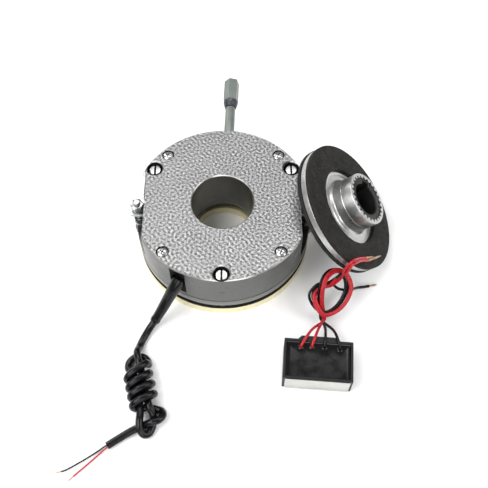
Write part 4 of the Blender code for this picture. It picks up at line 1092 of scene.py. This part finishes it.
def toothedRing(root, tip, teeth, narrower=0.0):
    # trapezoid teeth: the radius steps from root to tip and back once a pitch
    pitch = 2 * np.pi / teeth
    radius = np.tile([root, tip, tip, root], teeth)
    share = np.tile([-0.31, -0.14, 0.14, 0.31], teeth)
    inward = np.tile([1, 1, -1, -1], teeth) * narrower / radius
    a = np.repeat(np.arange(teeth), 4) * pitch + share * pitch + inward
    return np.stack([radius * np.cos(a), radius * np.sin(a)], 1)


def makeRotor():
    # the two linings and the carrier with its boss, all turned, and the carrier's spline cut out
    r = rotor
    back = -r["thickness"]
    for word, top, low in (("front", 0.0, -r["lining"] + 0.3), ("back", back + r["lining"] - 0.3, back)):
        edge = [0.5, 0.12, 0.12, 0.5] if word == "front" else [0.12, 0.5, 0.5, 0.12]
        profile = eased([(r["radius"], top), (r["radius"], low), (r["liningInner"], low),
                         (r["liningInner"], top)], edge, 3)
        lining = turned(word + "Lining", profile, rotorFrame, 220)
        finish(lining, "rotor", "friction", word + "_lining")
    plate, low = -r["lining"], back + r["lining"]
    rim = r["radius"] - 0.6
    profile = eased([(rim, plate), (rim, low), (r["boss"] + 1.5, low), (r["boss"] + 0.5, back + 0.5),
                     (15.0, back + 0.5), (15.0, r["bossTop"]), (r["boss"], r["bossTop"]),
                     (r["boss"], 7.0), (r["boss"] + 0.15, 6.4), (r["boss"] + 0.15, plate + 2.2),
                     (r["boss"] + 2.4, plate - 0.4), (31.0, plate - 0.5), (32.6, plate)],
                    [0.35, 0.35, 0.3, 0.3, 0.3, 0.5, 0.7, 0.1, 0.2, 1.0, 1.2, 0.5, 0.3], 5)
    carrier = turned("rotorCarrier", profile, rotorFrame, 220)
    outline = toothedRing(r["root"] + r["clearance"], r["tip"] + r["clearance"], r["teeth"])
    cutAway(carrier, [raised("splineTool", outline, back - 1, r["bossTop"] + 1, rotorFrame)])
    finish(carrier, "rotor", "aluminium", "rotor_carrier")


def makeHub():
    # a toothed bar with a bevelled bore and one keyway
    r = rotor
    outline = toothedRing(r["root"], r["tip"], r["teeth"], r["clearance"])
    hub = raised("splinedHub", outline, r["hubLow"], r["hubTop"], rotorFrame, 0.35, 2)
    ends = [(0, r["hubLow"] - 1), (r["bore"] + 1.2, r["hubLow"] - 1), (r["bore"], r["hubLow"] + 0.8),
            (r["bore"], r["hubTop"] - 0.8), (r["bore"] + 1.2, r["hubTop"] + 0.4),
            (r["bore"] + 1.2, r["hubTop"] + 1), (0, r["hubTop"] + 1)]
    cutAway(hub, [turned("boreTool", ends, rotorFrame, 96, closed=False),
                  boxTool("keyTool", (-4, 0, r["hubLow"] - 2), (4, 17.0, r["hubTop"] + 2), rotorFrame)])
    finish(hub, "hub", "blackOxide", "splined_hub")


makeRotor()
makeHub()
print("rotor and hub ready")


rectifier = dict(x=28.0, y=17.0, height=22.0, wall=2.0, pottingTop=19.2, pottingLow=5.0,
                 creep=1.5, reach=1.6, leadCreep=0.6, leadReach=0.9)


def makeRectifier():
    # a block with a step along its back, hollowed from above and filled, with a label in front
    b = rectifier
    outline = [(-b["x"], -b["y"]), (b["x"], -b["y"]), (b["x"], b["y"]), (17.5, b["y"]), (14.5, b["y"] + 3),
               (-14, b["y"] + 3), (-17, b["y"]), (-b["x"], b["y"])]
    case = raised("rectifierCase", outline, 0, b["height"], rectifierFrame)
    ix, iy = b["x"] - b["wall"], b["y"] - b["wall"]
    cutAway(case, [boxTool("cavity", (-ix, -iy, b["pottingLow"] - 0.3), (ix, iy, b["height"] + 1),
                           rectifierFrame)])
    softEdges(case, 0.35, 3)
    finish(case, "magnet_unit", "casePlastic", "rectifier_case")
    makePotting(ix - 0.05, iy - 0.05)
    outline = eased([(-26, -17.8), (26, -17.8), (26, -17.3), (-26, -17.3)], 0.15, 2)
    label = raised("rectifierLabel", outline, 1.5, 20.5, rectifierFrame, 0.12, 2)
    finish(label, "magnet_unit", "foil", "rectifier_label")


def makePotting(ix, iy):
    # a poured surface: level in the middle, creeping up three of the walls as
    # creep exp(-distance / reach), and up each lead in a small cone of the same form
    b = rectifier
    across, deep = 150, 92
    x = np.linspace(-1, 1, across)
    y = np.linspace(-1, 1, deep)
    crowd = lambda v: np.sign(v) * (1 - (1 - np.abs(v)) ** 1.5)
    X, Y = np.meshgrid(crowd(x) * ix, crowd(y) * iy)
    wall = np.minimum(np.minimum(ix - X, ix + X), iy - Y)
    Z = b["pottingTop"] + b["creep"] * np.exp(-wall / b["reach"])
    for wire in leadWires:
        local = np.array(wire["start"]) - np.array(rectifierPlace["centre"][:2])
        lx = local[0] * np.cos(turn) + local[1] * np.sin(turn)
        ly = -local[0] * np.sin(turn) + local[1] * np.cos(turn)
        away = np.hypot(X - lx, Y - ly)
        Z += b["leadCreep"] * np.exp(-np.maximum(away - leads["radius"], 0) / b["leadReach"])
    points = np.stack([X, Y, Z], -1).reshape(-1, 3)
    faces = list(gridQuads(deep, across))
    index = np.arange(deep * across).reshape(deep, across)
    border = np.concatenate([index[0, :-1], index[:-1, -1], index[-1, :0:-1], index[:0:-1, 0]])
    lower = points[border].copy()
    lower[:, 2] = b["pottingLow"]
    base, count = len(points), len(border)
    ring = np.arange(count)
    faces += list(np.stack([border, np.roll(border, -1), base + (ring + 1) % count, base + ring], 1))
    faces.append(list(base + ring))
    piece = meshObject("rectifierPotting", rectifierFrame(np.vstack([points, lower])), faces, 60)
    finish(piece, "magnet_unit", "gloss", "rectifier_potting")


makeRectifier()
print("rectifier ready")


# the hidden parts keep their CAD shape and get a finish each
kept = dict(coil_bobbin="bobbin", coil_winding="copper", coil_potting="resin", sleeve_bolt_1="brass",
            sleeve_bolt_2="brass", sleeve_bolt_3="brass")
for node, name in kept.items():
    mesh = everyNode[node].data
    mesh.materials.clear()
    mesh.materials.append(finishes[name])
